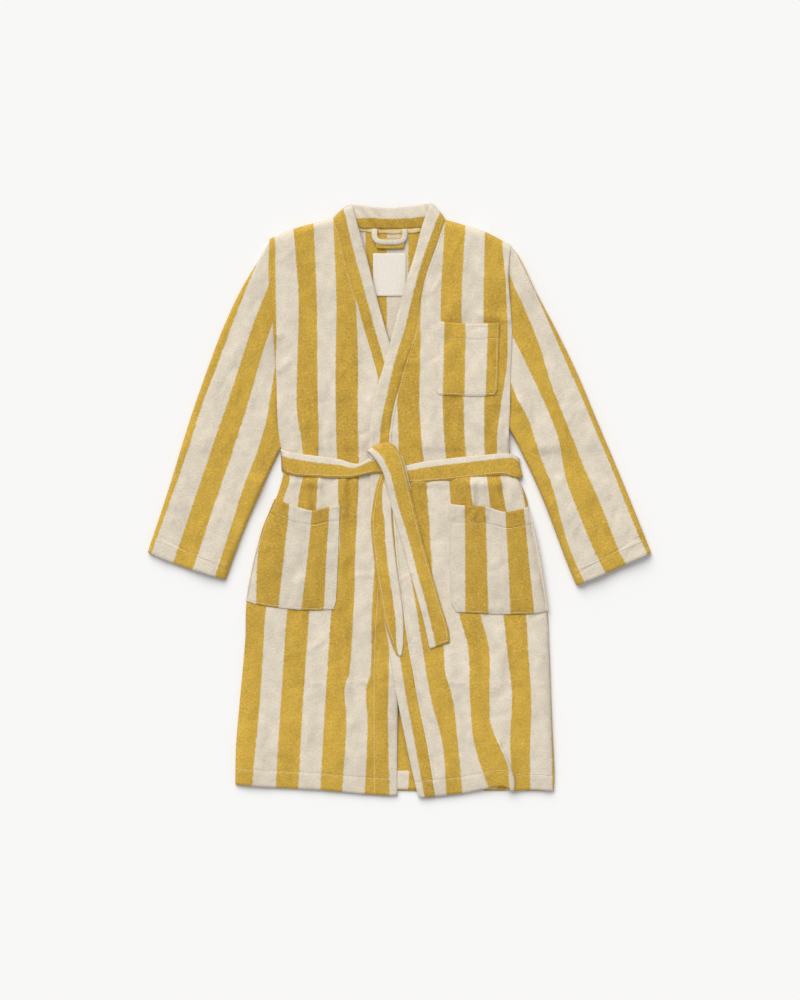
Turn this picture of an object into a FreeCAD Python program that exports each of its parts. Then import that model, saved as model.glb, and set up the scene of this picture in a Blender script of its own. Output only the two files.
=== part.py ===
"""A bathrobe of striped terry cloth, lying on its back with its front up and its belt tied.

Millimetres. X runs across the robe, +Y points to the neck, and +Z points up out of its front.
The origin is the middle of the robe's footprint, on the surface that it lies on.
Right and left are the wearer's: the right side lies at negative X, and the left front laps over the right.
"""
import FreeCAD, Part
import math
import os
import re
import Sketcher

# Every driving size: a name and its value in millimetres or degrees.
SIZES = {
    # thicknesses and levels of the cloth
    "cloth": 2.5,
    "band_cloth": 2.6,
    "belt_cloth": 3.5,
    "under_level": 7.5,
    "over_level": 10.3,
    "over_top": 12.8,
    "belt_level": 13.1,
    "thread": 0.4,
    "thread_wide": 1.2,
    # edges of the whole robe
    "half_width": 452,
    "neck_end": 535,
    "hem_end": -535,
    # back neck
    "back_neck": 490,
    "back_neck_right": -95,
    "back_neck_left": 68,
    # the right side of the body, outside edge
    "right_neck_across": -116,
    "right_neck_along": 509,
    "right_tip_across": -233,
    "right_tip_along": 468,
    "right_arm_across": -212,
    "right_arm_along": 102,
    "right_waist_across": -200,
    "right_waist_along": 58,
    "right_hip_across": -244,
    "right_hip_along": -49,
    "right_thigh_across": -273,
    "right_thigh_along": -179,
    "right_hem_across": -294,
    "right_hem_along": -515,
    # the left side of the body, outside edge
    "left_neck_across": 85,
    "left_neck_along": 504,
    "left_tip_across": 200,
    "left_tip_along": 462,
    "left_arm_across": 198,
    "left_arm_along": 118,
    "left_waist_across": 201,
    "left_waist_along": 62,
    "left_hip_across": 229,
    "left_hip_along": 4,
    "left_thigh_across": 266,
    "left_thigh_along": -201,
    "left_hem_across": 279,
    "left_hem_along": -522,
    # front edges and the seams of the bands
    "under_edge_low": -4,
    "under_seam_low": -40,
    "over_edge_low": 34,
    # sleeves
    "seam_gap": 1.2,
    "right_cuff_out_across": -452,
    "right_cuff_out_along": -92,
    "right_cuff_in_across": -314,
    "right_cuff_in_along": -141,
    "right_elbow_across": -314,
    "right_elbow_along": 316,
    "left_cuff_out_across": 452,
    "left_cuff_out_along": -92,
    "left_cuff_in_across": 321,
    "left_cuff_in_along": -150,
    "left_elbow_across": 287,
    "left_elbow_along": 298,
    "sleeve_wall": 3,
    # seams that close the body
    "seam_wide": 4,
    "corner_gap": 2,
    "fold_start": -365,
    "right_fold_across": -150,
    "right_fold_along": -519,
    "left_fold_across": 165,
    "left_fold_along": -522,
    # belt
    "belt_wide": 36,
    "belt_back_low": 46,
    "belt_ramp": 14,
    "belt_room": 4,
    "belt_turn_right": -209.5,
    "belt_turn_left": 211,
    "knot_high": 18,
    "knot_round": 7,
    "tail_top": 22,
    # pockets
    "pocket_gap": 4.6,
    "pocket_rim": 4,
    "pocket_round": 5,
    # hanger loop and label
    "loop_level": 5.6,
    "loop_thick": 2,
    "loop_round": 4,
    "tape_thick": 1.5,
    "label_thick": 0.8,
}

doc = FreeCAD.newDocument("bathrobe")
sheet = doc.addObject("Spreadsheet::Sheet", "Sizes")
for row, (alias, number) in enumerate(SIZES.items(), 1):
    sheet.set(f"A{row}", alias)
    sheet.set(f"B{row}", str(number))
    sheet.setAlias(f"B{row}", alias)
doc.recompute()

parts = []


def bound(text):
    """The same expression with every name looked up in the sheet."""
    return re.sub(r"[a-z_]+", lambda name: "Sizes." + name.group(0), text)


def origin_plane(body, role):
    """The body's own plane through its origin, such as XY_Plane."""
    return next(feature for feature in body.Origin.OriginFeatures if feature.Role == role)


def draw_loop(sketch, outline):
    """A closed outline of straight edges whose corners are all placed by expressions.

    The corners start on a circle, and the constraints then carry each one to its place.
    """
    count = len(outline)
    first = sketch.GeometryCount
    start = []
    for i in range(count):
        turn = 2 * math.pi * i / count
        start.append(FreeCAD.Vector(100 * math.cos(turn), 100 * math.sin(turn), 0))
    for i in range(count):
        sketch.addGeometry(Part.LineSegment(start[i], start[(i + 1) % count]), False)
    for i in range(count):
        following = first + (i + 1) % count
        sketch.addConstraint(Sketcher.Constraint("Coincident", first + i, 2, following, 1))
    for i, (across, along) in enumerate(outline):
        for kind, text, at in (("DistanceX", across, start[i].x), ("DistanceY", along, start[i].y)):
            index = sketch.addConstraint(Sketcher.Constraint(kind, -1, 1, first + i, 1, at))
            sketch.setExpression(f"Constraints[{index}]", bound(text))


def new_body(label, level):
    """A sub-part's body, standing at its level above the floor."""
    body = doc.addObject("PartDesign::Body", label)
    body.Label = label
    body.setExpression("Placement.Base.z", bound(level))
    parts.append(body)
    return body


def new_sketch(body, role, outlines):
    """A sketch on one of the body's own planes that holds the outlines."""
    sketch = body.newObject("Sketcher::SketchObject", body.Label + "_outline")
    sketch.AttachmentSupport = [(origin_plane(body, role), "")]
    sketch.MapMode = "FlatFace"
    for outline in outlines:
        draw_loop(sketch, outline)
    return sketch


def flat_piece(label, level, thick, *outlines):
    """A flat piece of cloth cut to an outline; further outlines are holes in it or pieces beside it."""
    body = new_body(label, level)
    sketch = new_sketch(body, "XY_Plane", outlines)
    pad = body.newObject("PartDesign::Pad", label + "_pad")
    pad.Profile = sketch
    pad.setExpression("Length", bound(thick))
    sketch.Visibility = False
    return body


def side_points(side, stations):
    """The named stations of one side's outside edge, as pairs of sheet names."""
    return [(f"{side}_{station}_across", f"{side}_{station}_along") for station in stations]


def strip(points, wide):
    """The outline of a narrow strip that follows a line, reaching wide to the right of it."""
    return points + [(f"{across} + {wide}", along) for across, along in reversed(points)]


def round_edges(body, radius, choose):
    """Rounds the edges of the body's last feature that choose picks."""
    doc.recompute()
    base = body.Tip
    names = [f"Edge{i}" for i, edge in enumerate(base.Shape.Edges, 1) if choose(edge)]
    fillet = body.newObject("PartDesign::Fillet", body.Label + "_fillet")
    fillet.Base = (base, names)
    fillet.setExpression("Radius", bound(radius))


def is_upright(edge):
    """True for a straight edge that stands along Z."""
    first, last = edge.Vertexes[0].Point, edge.Vertexes[-1].Point
    return abs(first.x - last.x) + abs(first.y - last.y) < 0.001 < abs(first.z - last.z)


# ---- back panel: one cloth, lifted over the belt that passes behind the waist ----
SIDE = ["neck", "tip", "arm", "waist", "hip", "thigh", "hem"]
BACK_EDGE = (
    [("back_neck_right", "back_neck")]
    + side_points("right", SIDE)
    + [("under_edge_low", "-528")]
    + side_points("left", SIDE[::-1])
    + [("back_neck_left", "back_neck")]
)


def make_back_panel():
    """The lifted profile runs across the robe, and the outline is then cut out of it."""
    body = new_body("back_panel", "0")
    low, high = "belt_back_low - 4", "belt_back_low + belt_wide + 4"
    under = [
        ("hem_end", "0"),
        (f"{low} - belt_ramp", "0"),
        (low, "belt_room"),
        (high, "belt_room"),
        (f"{high} + belt_ramp", "0"),
        ("neck_end", "0"),
    ]
    over = [(along, f"{up} + cloth") for along, up in reversed(under)]
    profile = new_sketch(body, "YZ_Plane", [under + over])
    ribbon = body.newObject("PartDesign::Pad", "back_panel_ribbon")
    ribbon.Profile = profile
    ribbon.Midplane = True
    ribbon.setExpression("Length", bound("half_width * 2"))
    doc.recompute()
    waste = [("-half_width - 9", "hem_end - 9"), ("half_width + 9", "hem_end - 9"),
             ("half_width + 9", "neck_end + 9"), ("-half_width - 9", "neck_end + 9")]
    cut = body.newObject("PartDesign::Pocket", "back_panel_cut")
    cut.Profile = new_sketch(body, "XY_Plane", [waste, BACK_EDGE])
    cut.Type = "ThroughAll"
    cut.Midplane = True


# ---- fronts: the right one lies under, the left one over it ----
UNDER_SEAM = [
    ("-107", "490"), ("-77", "361"), ("-36", "213"), ("-16", "60"), ("-34", "-300"),
    ("under_seam_low", "fold_start - 36"),
]
UNDER_EDGE = [
    ("-84", "532"), ("-71", "481"), ("-47", "391"), ("-25", "307"), ("20", "60"), ("1", "-300"),
    ("under_edge_low", "fold_start"),
]
OVER_SEAM = [
    ("76", "490"), ("50", "415"), ("5", "192"), ("-5", "62"), ("6", "-179"), ("25", "-303"),
    ("40", "fold_start - 39"),
]
OVER_EDGE = [
    ("58", "535"), ("43", "496"), ("18", "409"), ("-26", "245"), ("-46", "145"), ("-25", "55"),
    ("-31", "-179"), ("-13", "-303"), ("-2", "fold_start"),
]


def make_fronts():
    """Each front ends at the fold of its turned hem corner, which is a flap of its own."""
    flat_piece(
        "front_right_panel", "under_level", "cloth",
        side_points("right", SIDE) + [("right_fold_across", "right_fold_along")] + UNDER_SEAM[::-1])
    flat_piece(
        "front_left_panel", "over_level", "cloth",
        side_points("left", SIDE) + [("left_fold_across", "left_fold_along")] + OVER_SEAM[::-1])
    flat_piece(
        "front_right_corner", "under_level", "cloth",
        [("under_edge_low", "fold_start - corner_gap * 2"), ("under_edge_low", "-529"),
         ("-103", "-525"), ("right_fold_across + corner_gap * 2", "right_fold_along - 1")])
    flat_piece(
        "front_left_corner", "over_level", "cloth",
        [("1", "fold_start - corner_gap * 2"), ("22", "-482"), ("over_edge_low", "hem_end"),
         ("88", "-532"), ("left_fold_across - corner_gap * 2", "left_fold_along - 1")])


def make_bands():
    """A folded band edges each front from the neck to its hem corner, and goes round the back neck."""
    flat_piece(
        "neck_band_right", "under_level", "band_cloth",
        [("-100", "525"), ("right_neck_across", "right_neck_along")] + UNDER_SEAM + UNDER_EDGE[::-1])
    flat_piece(
        "neck_band_left", "over_level", "band_cloth",
        [("73", "518"), ("left_neck_across", "left_neck_along")] + OVER_SEAM + OVER_EDGE[::-1])
    flat_piece(
        "neck_band_back", "0", "under_level",
        [("back_neck_right", "back_neck"), ("back_neck_right", "524"), ("-78", "533"), ("-20", "526"),
         ("55", "534"), ("back_neck_left", "520"), ("back_neck_left", "back_neck")])
    flat_piece(
        "neck_tape", "cloth", "tape_thick",
        [("-68", "back_neck - 8"), ("-66", "back_neck"), ("40", "back_neck"), ("38", "back_neck - 8")])


def make_body_seams():
    """The seams that join back and fronts along the shoulders, and down the sides below the belt."""
    for side, level, inward, band_top in (
        ("right", "under_level", "seam_wide", ("-97", "523")),
        ("left", "over_level", "-seam_wide", ("72", "517")),
    ):
        shoulder = [band_top] + side_points(side, ["neck", "tip"])
        lower = [(across, f"{along} - seam_wide * 1.6") for across, along in shoulder[::-1]]
        flat_piece(f"shoulder_seam_{side}", "cloth", f"{level} - cloth", shoulder + lower)
        below = [(f"{side}_waist_across", "belt_back_low - 20")] + side_points(side, SIDE[4:])
        flat_piece(f"side_seam_{side}", "cloth", f"{level} - cloth", strip(below, inward))


# ---- sleeves: two layers, joined along the underarm seam and along the fold at the top ----
def sleeve_outline(side, away):
    """The sleeve's outside edge, from the shoulder to the cuff and back up to the underarm."""
    tip, arm = side_points(side, ["tip", "arm"])
    stations = side_points(side, ["elbow", "cuff_out", "cuff_in"])
    first = (f"{tip[0]} {away} seam_gap", f"{tip[1]} - 2")
    last = (f"{arm[0]} {away} seam_gap", arm[1])
    return [first] + stations + [last]


def make_sleeves():
    """A flattened tube, open at the armhole and at the cuff."""
    for side, level, away, inward in (
        ("right", "under_level", "-", "sleeve_wall"),
        ("left", "over_level", "+", "-sleeve_wall"),
    ):
        outline = sleeve_outline(side, away)
        flat_piece(f"sleeve_{side}_front", level, "cloth", outline)
        flat_piece(f"sleeve_{side}_back", "0", "cloth", outline)
        shoulder, elbow, cuff = outline[:3]
        under_shoulder = (shoulder[0], f"{shoulder[1]} - sleeve_wall * 3")
        top_fold = strip([elbow, cuff], inward)
        underarm = [outline[4], outline[3]]
        outward = inward[1:] if inward.startswith("-") else "-" + inward
        flat_piece(
            f"sleeve_{side}_top_fold", "cloth", f"{level} - cloth",
            [shoulder] + top_fold + [under_shoulder])
        flat_piece(f"sleeve_{side}_underarm_seam", "cloth", f"{level} - cloth", strip(underarm, outward))


# ---- pockets: a patch raised on a rim, open at the top ----
def make_pocket(label, level, corners):
    """The four corners run from the mouth's left end, down, across and back up to its right end."""
    body = flat_piece(label, level, "pocket_gap + cloth", corners)
    round_edges(body, "pocket_round", lambda edge: is_upright(edge) and edge.Vertexes[0].Y < low_line(corners))
    doc.recompute()
    room = body.newObject("PartDesign::Pocket", label + "_room")
    rim = "pocket_rim"
    top_left, low_left, low_right, top_right = corners
    inside = [
        (f"{top_left[0]} + {rim}", f"{top_left[1]} + 20"),
        (f"{low_left[0]} + {rim}", f"{low_left[1]} + {rim}"),
        (f"{low_right[0]} - {rim}", f"{low_right[1]} + {rim}"),
        (f"{top_right[0]} - {rim}", f"{top_right[1]} + 20"),
    ]
    sketch = new_sketch(body, "XY_Plane", [inside])
    room.Profile = sketch
    room.setExpression("Length", bound("pocket_gap"))
    room.Reversed = True


def low_line(corners):
    """A height between a pocket's mouth and its bottom, to tell its corners apart."""
    return (float(corners[0][1]) + float(corners[1][1])) / 2


def make_pockets():
    """Two hip pockets and one chest pocket on the wearer's left."""
    make_pocket("chest_pocket", "over_top",
                [("74", "322"), ("65", "191"), ("175", "192"), ("181", "320")])
    make_pocket("hip_pocket_right", "under_level + cloth",
                [("-222", "1"), ("-271", "-180"), ("-117", "-196"), ("-108", "-10")])
    make_pocket("hip_pocket_left", "over_top",
                [("92", "-8"), ("96", "-198"), ("264", "-202"), ("231", "-13")])


# ---- belt: round the back, across both fronts, and tied with two hanging tails ----
KNOT = [("-58", "88"), ("-30", "104"), ("-6", "100"), ("12", "72"), ("14", "34"), ("-8", "25"), ("-38", "27"),
        ("-56", "52")]


def make_belt():
    """The belt's stretches meet the knot edge to edge, and both tails hang free below it."""
    flat_piece(
        "belt_back", "0", "belt_cloth",
        [("belt_turn_right", "belt_back_low"), ("belt_turn_left", "belt_back_low"),
         ("belt_turn_left", "belt_back_low + belt_wide"), ("belt_turn_right", "belt_back_low + belt_wide")])
    flat_piece(
        "belt_right_strap", "belt_level", "belt_cloth",
        [("-213", "90"), ("-210", "50"), ("-106", "43"), ("-56", "52"), ("-58", "88"), ("-107", "75")])
    flat_piece(
        "belt_left_strap", "belt_level", "belt_cloth",
        [("12", "72"), ("14", "34"), ("175", "47"), ("218", "41"), ("221", "50"), ("214", "74"),
         ("199", "82")])
    for side, away, high in (("right", "-", "86"), ("left", "+", "72")):
        inner = f"belt_turn_{side}"
        outer = f"{inner} {away} belt_cloth"
        flat_piece(
            f"belt_{side}_turn", "0", "belt_level",
            [(inner, "belt_back_low + 4"), (outer, "belt_back_low + 4"), (outer, high), (inner, high)])
    knot = flat_piece("belt_knot", "belt_level", "knot_high", KNOT)
    round_edges(knot, "knot_round", lambda edge: edge.BoundBox.ZMin > SIZES["knot_high"] - 0.001)
    flat_piece(
        "belt_long_tail", "belt_level", "belt_cloth",
        [("-20", "tail_top"), ("13", "tail_top"), ("47", "-90"), ("61", "-138"), ("90", "-240"), ("90", "-256"),
         ("56", "-266"), ("45", "-218"), ("11", "-90")])
    flat_piece(
        "belt_short_tail", "belt_level", "belt_cloth",
        [("-38", "tail_top"), ("-22", "tail_top"), ("-9", "-90"), ("2", "-163"), ("7", "-238"), ("1", "-280"),
         ("-8", "-278"), ("-28", "-215"), ("-47", "-108"), ("-50", "-22")])


def make_neck_trim():
    """A loop to hang the robe by, and a blank label, on the inside of the back neck."""
    loop = flat_piece(
        "hanger_loop", "loop_level", "loop_thick",
        [("-49.5", "482"), ("-49.5", "461"), ("15.5", "461"), ("15.5", "482")],
        [("-37", "480"), ("-37", "471"), ("3", "471"), ("3", "480")])
    round_edges(loop, "loop_round", lambda edge: is_upright(edge) and edge.Vertexes[0].Y < 465)
    for end, across in (("right", "-49.5"), ("left", "5.5")):
        flat_piece(
            f"hanger_loop_{end}_stay", "cloth + tape_thick", "loop_level - cloth - tape_thick",
            [(across, "back_neck - 6.5"), (across, "back_neck"), (f"{across} + 10", "back_neck"),
             (f"{across} + 10", "back_neck - 6.5")])
    label = flat_piece(
        "neck_label", "cloth", "label_thick",
        [("-46.6", "445"), ("12.4", "445"), ("12.4", "368.5"), ("-46.6", "368.5")])
    round_edges(label, "cloth", is_upright)


# ---- sewing threads: each row of stitches is one thin raised line on top of its cloth ----
def thread_row(points, across="thread_wide", along="0"):
    """The outline of a row of stitches that follows a line, thickened across or along the robe."""
    back = [(f"{x} + {across}", f"{y} + {along}") for x, y in reversed(points)]
    return points + back


def make_threads():
    """Rows along the bands, round the pockets, over the hems and cuffs, and down the belt."""
    flat_piece("band_stitching_right", "under_level + band_cloth", "thread",
               thread_row([("-104", "490"), ("-74", "361"), ("-36", "230")]))
    flat_piece("band_stitching_left", "over_level + band_cloth", "thread",
               thread_row([("72", "490"), ("46", "415"), ("1", "192")]))
    flat_piece("hem_stitching_right", "under_level + cloth", "thread",
               thread_row([("-286", "-487"), ("-183", "-489")], "0", "thread_wide"))
    flat_piece("hem_stitching_left", "over_top", "thread",
               thread_row([("142", "-493"), ("272", "-494")], "0", "thread_wide"))
    flat_piece("hem_stitching_right_corner", "under_level + cloth", "thread",
               thread_row([("-118", "-497"), ("-8", "-501")], "0", "thread_wide"))
    flat_piece("hem_stitching_left_corner", "over_top", "thread",
               thread_row([("30", "-506"), ("88", "-504"), ("130", "-500")], "0", "thread_wide"))
    flat_piece("cuff_stitching_right", "under_level + cloth", "thread",
               thread_row([("-442", "-69"), ("-308", "-114")], "0", "thread_wide"))
    flat_piece("cuff_stitching_left", "over_top", "thread",
               thread_row([("312", "-122"), ("440", "-67")], "0", "thread_wide"))
    top = "pocket_gap + cloth"
    flat_piece("pocket_stitching_chest", f"over_top + {top}", "thread",
               thread_row([("76", "294"), ("178", "293")], "0", "thread_wide"))
    flat_piece("pocket_stitching_right", f"under_level + cloth + {top}", "thread",
               thread_row([("-225", "-28"), ("-112", "-40")], "0", "thread_wide"))
    flat_piece("pocket_stitching_left", f"over_top + {top}", "thread",
               thread_row([("96", "-40"), ("234", "-44")], "0", "thread_wide"))
    flat_piece("belt_stitching", "belt_level + belt_cloth", "thread",
               thread_row([("-205", "55"), ("-106", "48"), ("-60", "56")], "0", "thread_wide"),
               thread_row([("16", "40"), ("175", "52"), ("213", "47")], "0", "thread_wide"))
    flat_piece("long_tail_stitching", "belt_level + belt_cloth", "thread",
               thread_row([("8", "16"), ("42", "-91"), ("56", "-139"), ("84", "-240"), ("84", "-250")]))
    flat_piece("short_tail_stitching", "belt_level + belt_cloth", "thread",
               thread_row([("-34", "16"), ("-45", "-24"), ("-42", "-108"), ("-23", "-214"), ("-4", "-272")]))


make_back_panel()
make_fronts()
make_bands()
make_body_seams()
make_sleeves()
make_pockets()
make_belt()
make_neck_trim()
make_threads()
doc.recompute()

faults = [item.Name for item in doc.Objects if "Invalid" in item.State or "Error" in item.State]
if faults:
    raise RuntimeError(f"objects that failed: {faults}")
for part in parts:
    if part.Shape.isNull() or not part.Shape.isValid():
        raise RuntimeError(f"{part.Label} has no valid shape")

os.makedirs("parts", exist_ok=True)
for part in parts:
    part.Shape.exportStep(os.path.join("parts", part.Label + ".step"))
    print(part.Label, round(part.Shape.Volume), len(part.Shape.Solids), part.Shape.BoundBox)
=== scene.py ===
"""Looks of a striped terry bathrobe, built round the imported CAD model.

The robe lies on its back with its front up, its left front lapped over the right, and its belt tied.
Right and left are the wearer's, so the right side lies at negative X, and +Y points to the neck.
Shapes are worked out in millimetres, and a mesh is scaled to metres when it is made.
"""
import math

import bmesh
import bpy
import numpy as np
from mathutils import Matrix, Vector
from mathutils.bvhtree import BVHTree


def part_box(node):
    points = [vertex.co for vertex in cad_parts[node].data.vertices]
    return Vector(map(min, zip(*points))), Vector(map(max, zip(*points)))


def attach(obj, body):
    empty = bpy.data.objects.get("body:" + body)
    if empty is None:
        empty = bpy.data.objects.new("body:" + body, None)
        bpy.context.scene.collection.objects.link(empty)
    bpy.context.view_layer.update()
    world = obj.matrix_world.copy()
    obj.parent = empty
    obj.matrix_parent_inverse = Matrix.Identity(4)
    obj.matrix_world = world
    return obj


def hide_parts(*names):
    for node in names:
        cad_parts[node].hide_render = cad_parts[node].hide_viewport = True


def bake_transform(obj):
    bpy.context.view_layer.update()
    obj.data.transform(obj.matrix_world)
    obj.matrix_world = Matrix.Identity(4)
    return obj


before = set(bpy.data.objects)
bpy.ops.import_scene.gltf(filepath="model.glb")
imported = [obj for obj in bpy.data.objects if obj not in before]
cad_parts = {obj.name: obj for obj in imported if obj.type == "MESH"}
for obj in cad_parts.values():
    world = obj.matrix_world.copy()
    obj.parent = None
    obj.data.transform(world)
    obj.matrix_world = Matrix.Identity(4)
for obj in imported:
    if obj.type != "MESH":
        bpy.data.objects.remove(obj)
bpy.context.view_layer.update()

MM = 0.001


def level(node_name):
    """Height of the middle of a flat CAD node, in millimetres."""
    low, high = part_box(node_name)
    return (low.z + high.z) / 2 / MM


# Heights of a cloth's middle above the floor.
UNDER_LEVEL = level("front_right_panel")
OVER_LEVEL = level("front_left_panel")
SEAM_LEVEL = 3.4             # a front where it is sewn to the back
BACK_LEVEL = 1.3
SLEEVE_LEVEL = 4.0           # between a sleeve's two layers
BEHIND = 1.75                # the belt behind the back
TAIL_GAP = 3.1               # from the middle of a front up to that of a belt end on it

# Thicknesses.
CLOTH = 2.4
SLEEVE_CLOTH = 2.2
POCKET_CLOTH = 2.3
BAND = 2.6
BELT = 3.3

# Lengths across and along the robe.
STRIPE = 36.0                # width of one stripe
HEM = 28.0                   # depth of the turned-up hem
CUFF_HEM = 26.0
TOPSTITCH = 3.2              # from the band's seam to the stitches beside it
POCKET_STITCH = 2.6          # from a pocket's edge to its stitches
WAIST = 66.0                 # Y of the belt's middle
SIDE_SEAM_TOP = (86, 118)    # Y where the side seam starts to open, and where it is open

# Stripe numbers in the middle of a stripe.
ON_CREAM = 1.5
ON_YELLOW = 2.5


# ---- curves and grids ----
def unit(vectors):
    """Vectors of length 1 in the same directions."""
    tiny = 1e-9
    return vectors / np.maximum(np.linalg.norm(vectors, axis=-1, keepdims=True), tiny)


def hermite(u, here, there, leave, arrive):
    """Points between here and there, at shares u of the way, with the slopes at both ends."""
    return (here * (2 * u**3 - 3 * u**2 + 1) + leave * (u**3 - 2 * u**2 + u)
            + there * (3 * u**2 - 2 * u**3) + arrive * (u**3 - u**2))


def run_on(knots):
    """Knots with one more at each end, so that the curve through them has a slope there."""
    return np.vstack([2 * knots[0] - knots[1], knots, 2 * knots[-1] - knots[-2]])


def smooth(points, step=3.0):
    """A smooth curve through given points, as an array of points about one step apart."""
    knots = np.array(points, float)
    padded = run_on(knots)
    spans = np.linalg.norm(np.diff(padded, axis=0), axis=1)
    out = []
    for i in range(1, len(knots)):
        before, here, after = spans[i - 1], spans[i], spans[i + 1]
        leave = (padded[i + 1] - padded[i - 1]) * here / (before + here)
        arrive = (padded[i + 2] - padded[i]) * here / (here + after)
        u = np.linspace(0, 1, max(2, int(here / step)), endpoint=False)[:, None]
        out.append(hermite(u, padded[i], padded[i + 1], leave, arrive))
    out.append(knots[-1:])
    return np.vstack(out)


def joined(*curves):
    """Curves that meet end to end, as one."""
    return np.vstack([curve if i == 0 else curve[1:] for i, curve in enumerate(curves)])


def distances(curve):
    """How far along a curve each of its points lies."""
    return np.concatenate([[0], np.cumsum(np.linalg.norm(np.diff(curve, axis=0), axis=1))])


def resample(curve, fractions):
    """Points at the given fractions of a curve's length."""
    gone = distances(curve)
    return np.stack([np.interp(fractions * gone[-1], gone, axis) for axis in curve.T], -1)


def offset(curve, distance):
    """The same flat curve moved sideways, to the left of its direction for a positive distance."""
    run = unit(np.gradient(curve, axis=0))
    return curve + distance * np.stack([-run[:, 1], run[:, 0]], -1)


def stretch_of(curve, start, end):
    """The part of a curve between two fractions of its length."""
    return resample(curve, np.linspace(start, end, 60))


def split_at(curve, share, meeting):
    """Both parts of a curve, before and after a share of its length, made to meet at a point."""
    before = stretch_of(curve, 0, share)
    after = stretch_of(curve, share, 1)
    before[-1] = meeting
    after[0] = meeting
    return before, after


def stations(length, step, marks=()):
    """Places from 0 to a length, a step apart and closer at marks. A mark below 0 counts from the end."""
    clear, least = 3.4, 0.3
    places = list(np.linspace(0, length, max(3, int(length / step) + 1)))
    for mark in marks:
        centre = mark if mark >= 0 else length + mark
        near = [centre + shift for shift in (-2.2, -1.1, 0, 1.1, 2.2)]
        places = [p for p in places if abs(p - centre) > clear or p in (0, length)] + near
    kept = sorted(p for p in places if 0 <= p <= length)
    return np.array([p for i, p in enumerate(kept) if i == 0 or p - kept[i - 1] > least])


def patch(left, right, bottom, top, step=4.0, across=(), along=(), rows=None):
    """A grid that fills four curves, rows from bottom to top, with its columns' and rows' distances."""
    wide = (distances(bottom)[-1] + distances(top)[-1]) / 2
    tall = (distances(left)[-1] + distances(right)[-1]) / 2
    columns = stations(wide, step, across)
    rows = stations(tall, step, along) if rows is None else rows
    u = columns / columns[-1]
    v = rows / rows[-1]
    low, high = resample(bottom, u)[None], resample(top, u)[None]
    near, far = resample(left, v)[:, None], resample(right, v)[:, None]
    s, t = u[None, :, None], v[:, None, None]
    corners = ((1 - s) * (1 - t) * bottom[0] + s * (1 - t) * bottom[-1]
               + (1 - s) * t * top[0] + s * t * top[-1])
    return (1 - t) * low + t * high + (1 - s) * near + s * far - corners, columns, rows


def smoothstep(low, high, value):
    """0 below low, 1 above high, and an S curve between."""
    t = np.clip((value - low) / (high - low), 0, 1)
    return t * t * (3 - 2 * t)


def rounded(distance, radius):
    """0 at an edge and 1 from a radius inwards, along a quarter circle."""
    return np.sqrt(1 - (1 - np.clip(distance / radius, 0, 1)) ** 2)


def groove(distance, place, depth=0.8, width=1.4):
    """The dent that a row of stitches pulls into the cloth."""
    return -depth * np.exp(-(((distance - place) / width) ** 2))


class Stripes:
    """Numbers the stripes: a whole number at each line between two colours, cream from odd to even."""

    RUN_ON = 40    # how far a line runs on past its ends, in lengths of its last stretch
    STRETCH = 8    # steps in that stretch
    NARROWEST = 0.2

    def __init__(self, lines, first, along=(0, 1)):
        self.along = np.array(along, float) / np.linalg.norm(along)
        self.across = np.array([self.along[1], -self.along[0]])
        self.first = first
        self.lines = []
        for line in lines:
            curve = smooth(line)
            before = curve[0] + (curve[0] - curve[self.STRETCH]) * self.RUN_ON
            after = curve[-1] + (curve[-1] - curve[-1 - self.STRETCH]) * self.RUN_ON
            far = np.vstack([before, curve, after])
            places = far @ self.along
            order = np.argsort(places)
            self.lines.append((places[order], (far @ self.across)[order]))

    def numbers(self, points):
        """The stripe coordinate of each point, and its place along the cloth in stripe widths."""
        flat = points.reshape(-1, points.shape[-1])[:, :2]
        along, across = flat @ self.along, flat @ self.across
        edges = np.stack([np.interp(along, places, offsets) for places, offsets in self.lines], -1)
        edges = np.maximum.accumulate(edges, axis=1)
        edges = np.hstack([edges[:, :1] - STRIPE, edges, edges[:, -1:] + STRIPE])
        slot = np.clip((across[:, None] > edges).sum(1), 1, edges.shape[1] - 1)
        pick = np.arange(len(flat))
        low, high = edges[pick, slot - 1], edges[pick, slot]
        share = (across - low) / np.maximum(high - low, self.NARROWEST)
        number = slot - 1 + share + self.first - 1
        return np.stack([number, along / STRIPE], -1).reshape(*points.shape[:-1], 2)


# ---- outlines ----
# Sides, seams and edges run from the hem up. Hems and tops run towards the band or away from it.
RIGHT_SIDE = joined(
    smooth([(-294, -511), (-292, -435), (-276, -251), (-273, -179), (-244, -49), (-221, 2), (-209, 40),
            (-204, 66), (-207, 84)]),
    smooth([(-207, 84), (-213, 100), (-218, 147), (-220, 217), (-223, 270), (-229, 361), (-234, 410),
            (-232, 471)]))
RIGHT_TOP = joined(smooth([(-232, 471), (-187, 489), (-150, 499.5), (-117, 509)]),
                   smooth([(-117, 509), (-100, 525), (-85, 533)]))
RIGHT_HEM = smooth([(-294, -511), (-240, -515), (-146, -520), (-101, -524), (-41, -529), (-4, -530)])
RIGHT_SEAM = smooth([(-41, -529), (-41, -290), (-33, -140), (-18, 60), (-36, 213), (-65, 318), (-77, 362),
                     (-99, 442), (-108, 482), (-117, 509)])
RIGHT_MIDDLE = [(-17, -529), (-20, -400), (-19, -339), (-14, -140), (2, 60), (-17, 213), (-43.6, 308),
                (-57.8, 362), (-67.5, 398), (-80, 442), (-99.6, 526)]
RIGHT_EDGE = smooth([(-4, -530), (-2.5, -358), (6, -140), (20, 60), (3, 213), (-25, 308), (-40, 362),
                     (-49, 398), (-60, 442), (-72, 484), (-85, 533)])

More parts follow.
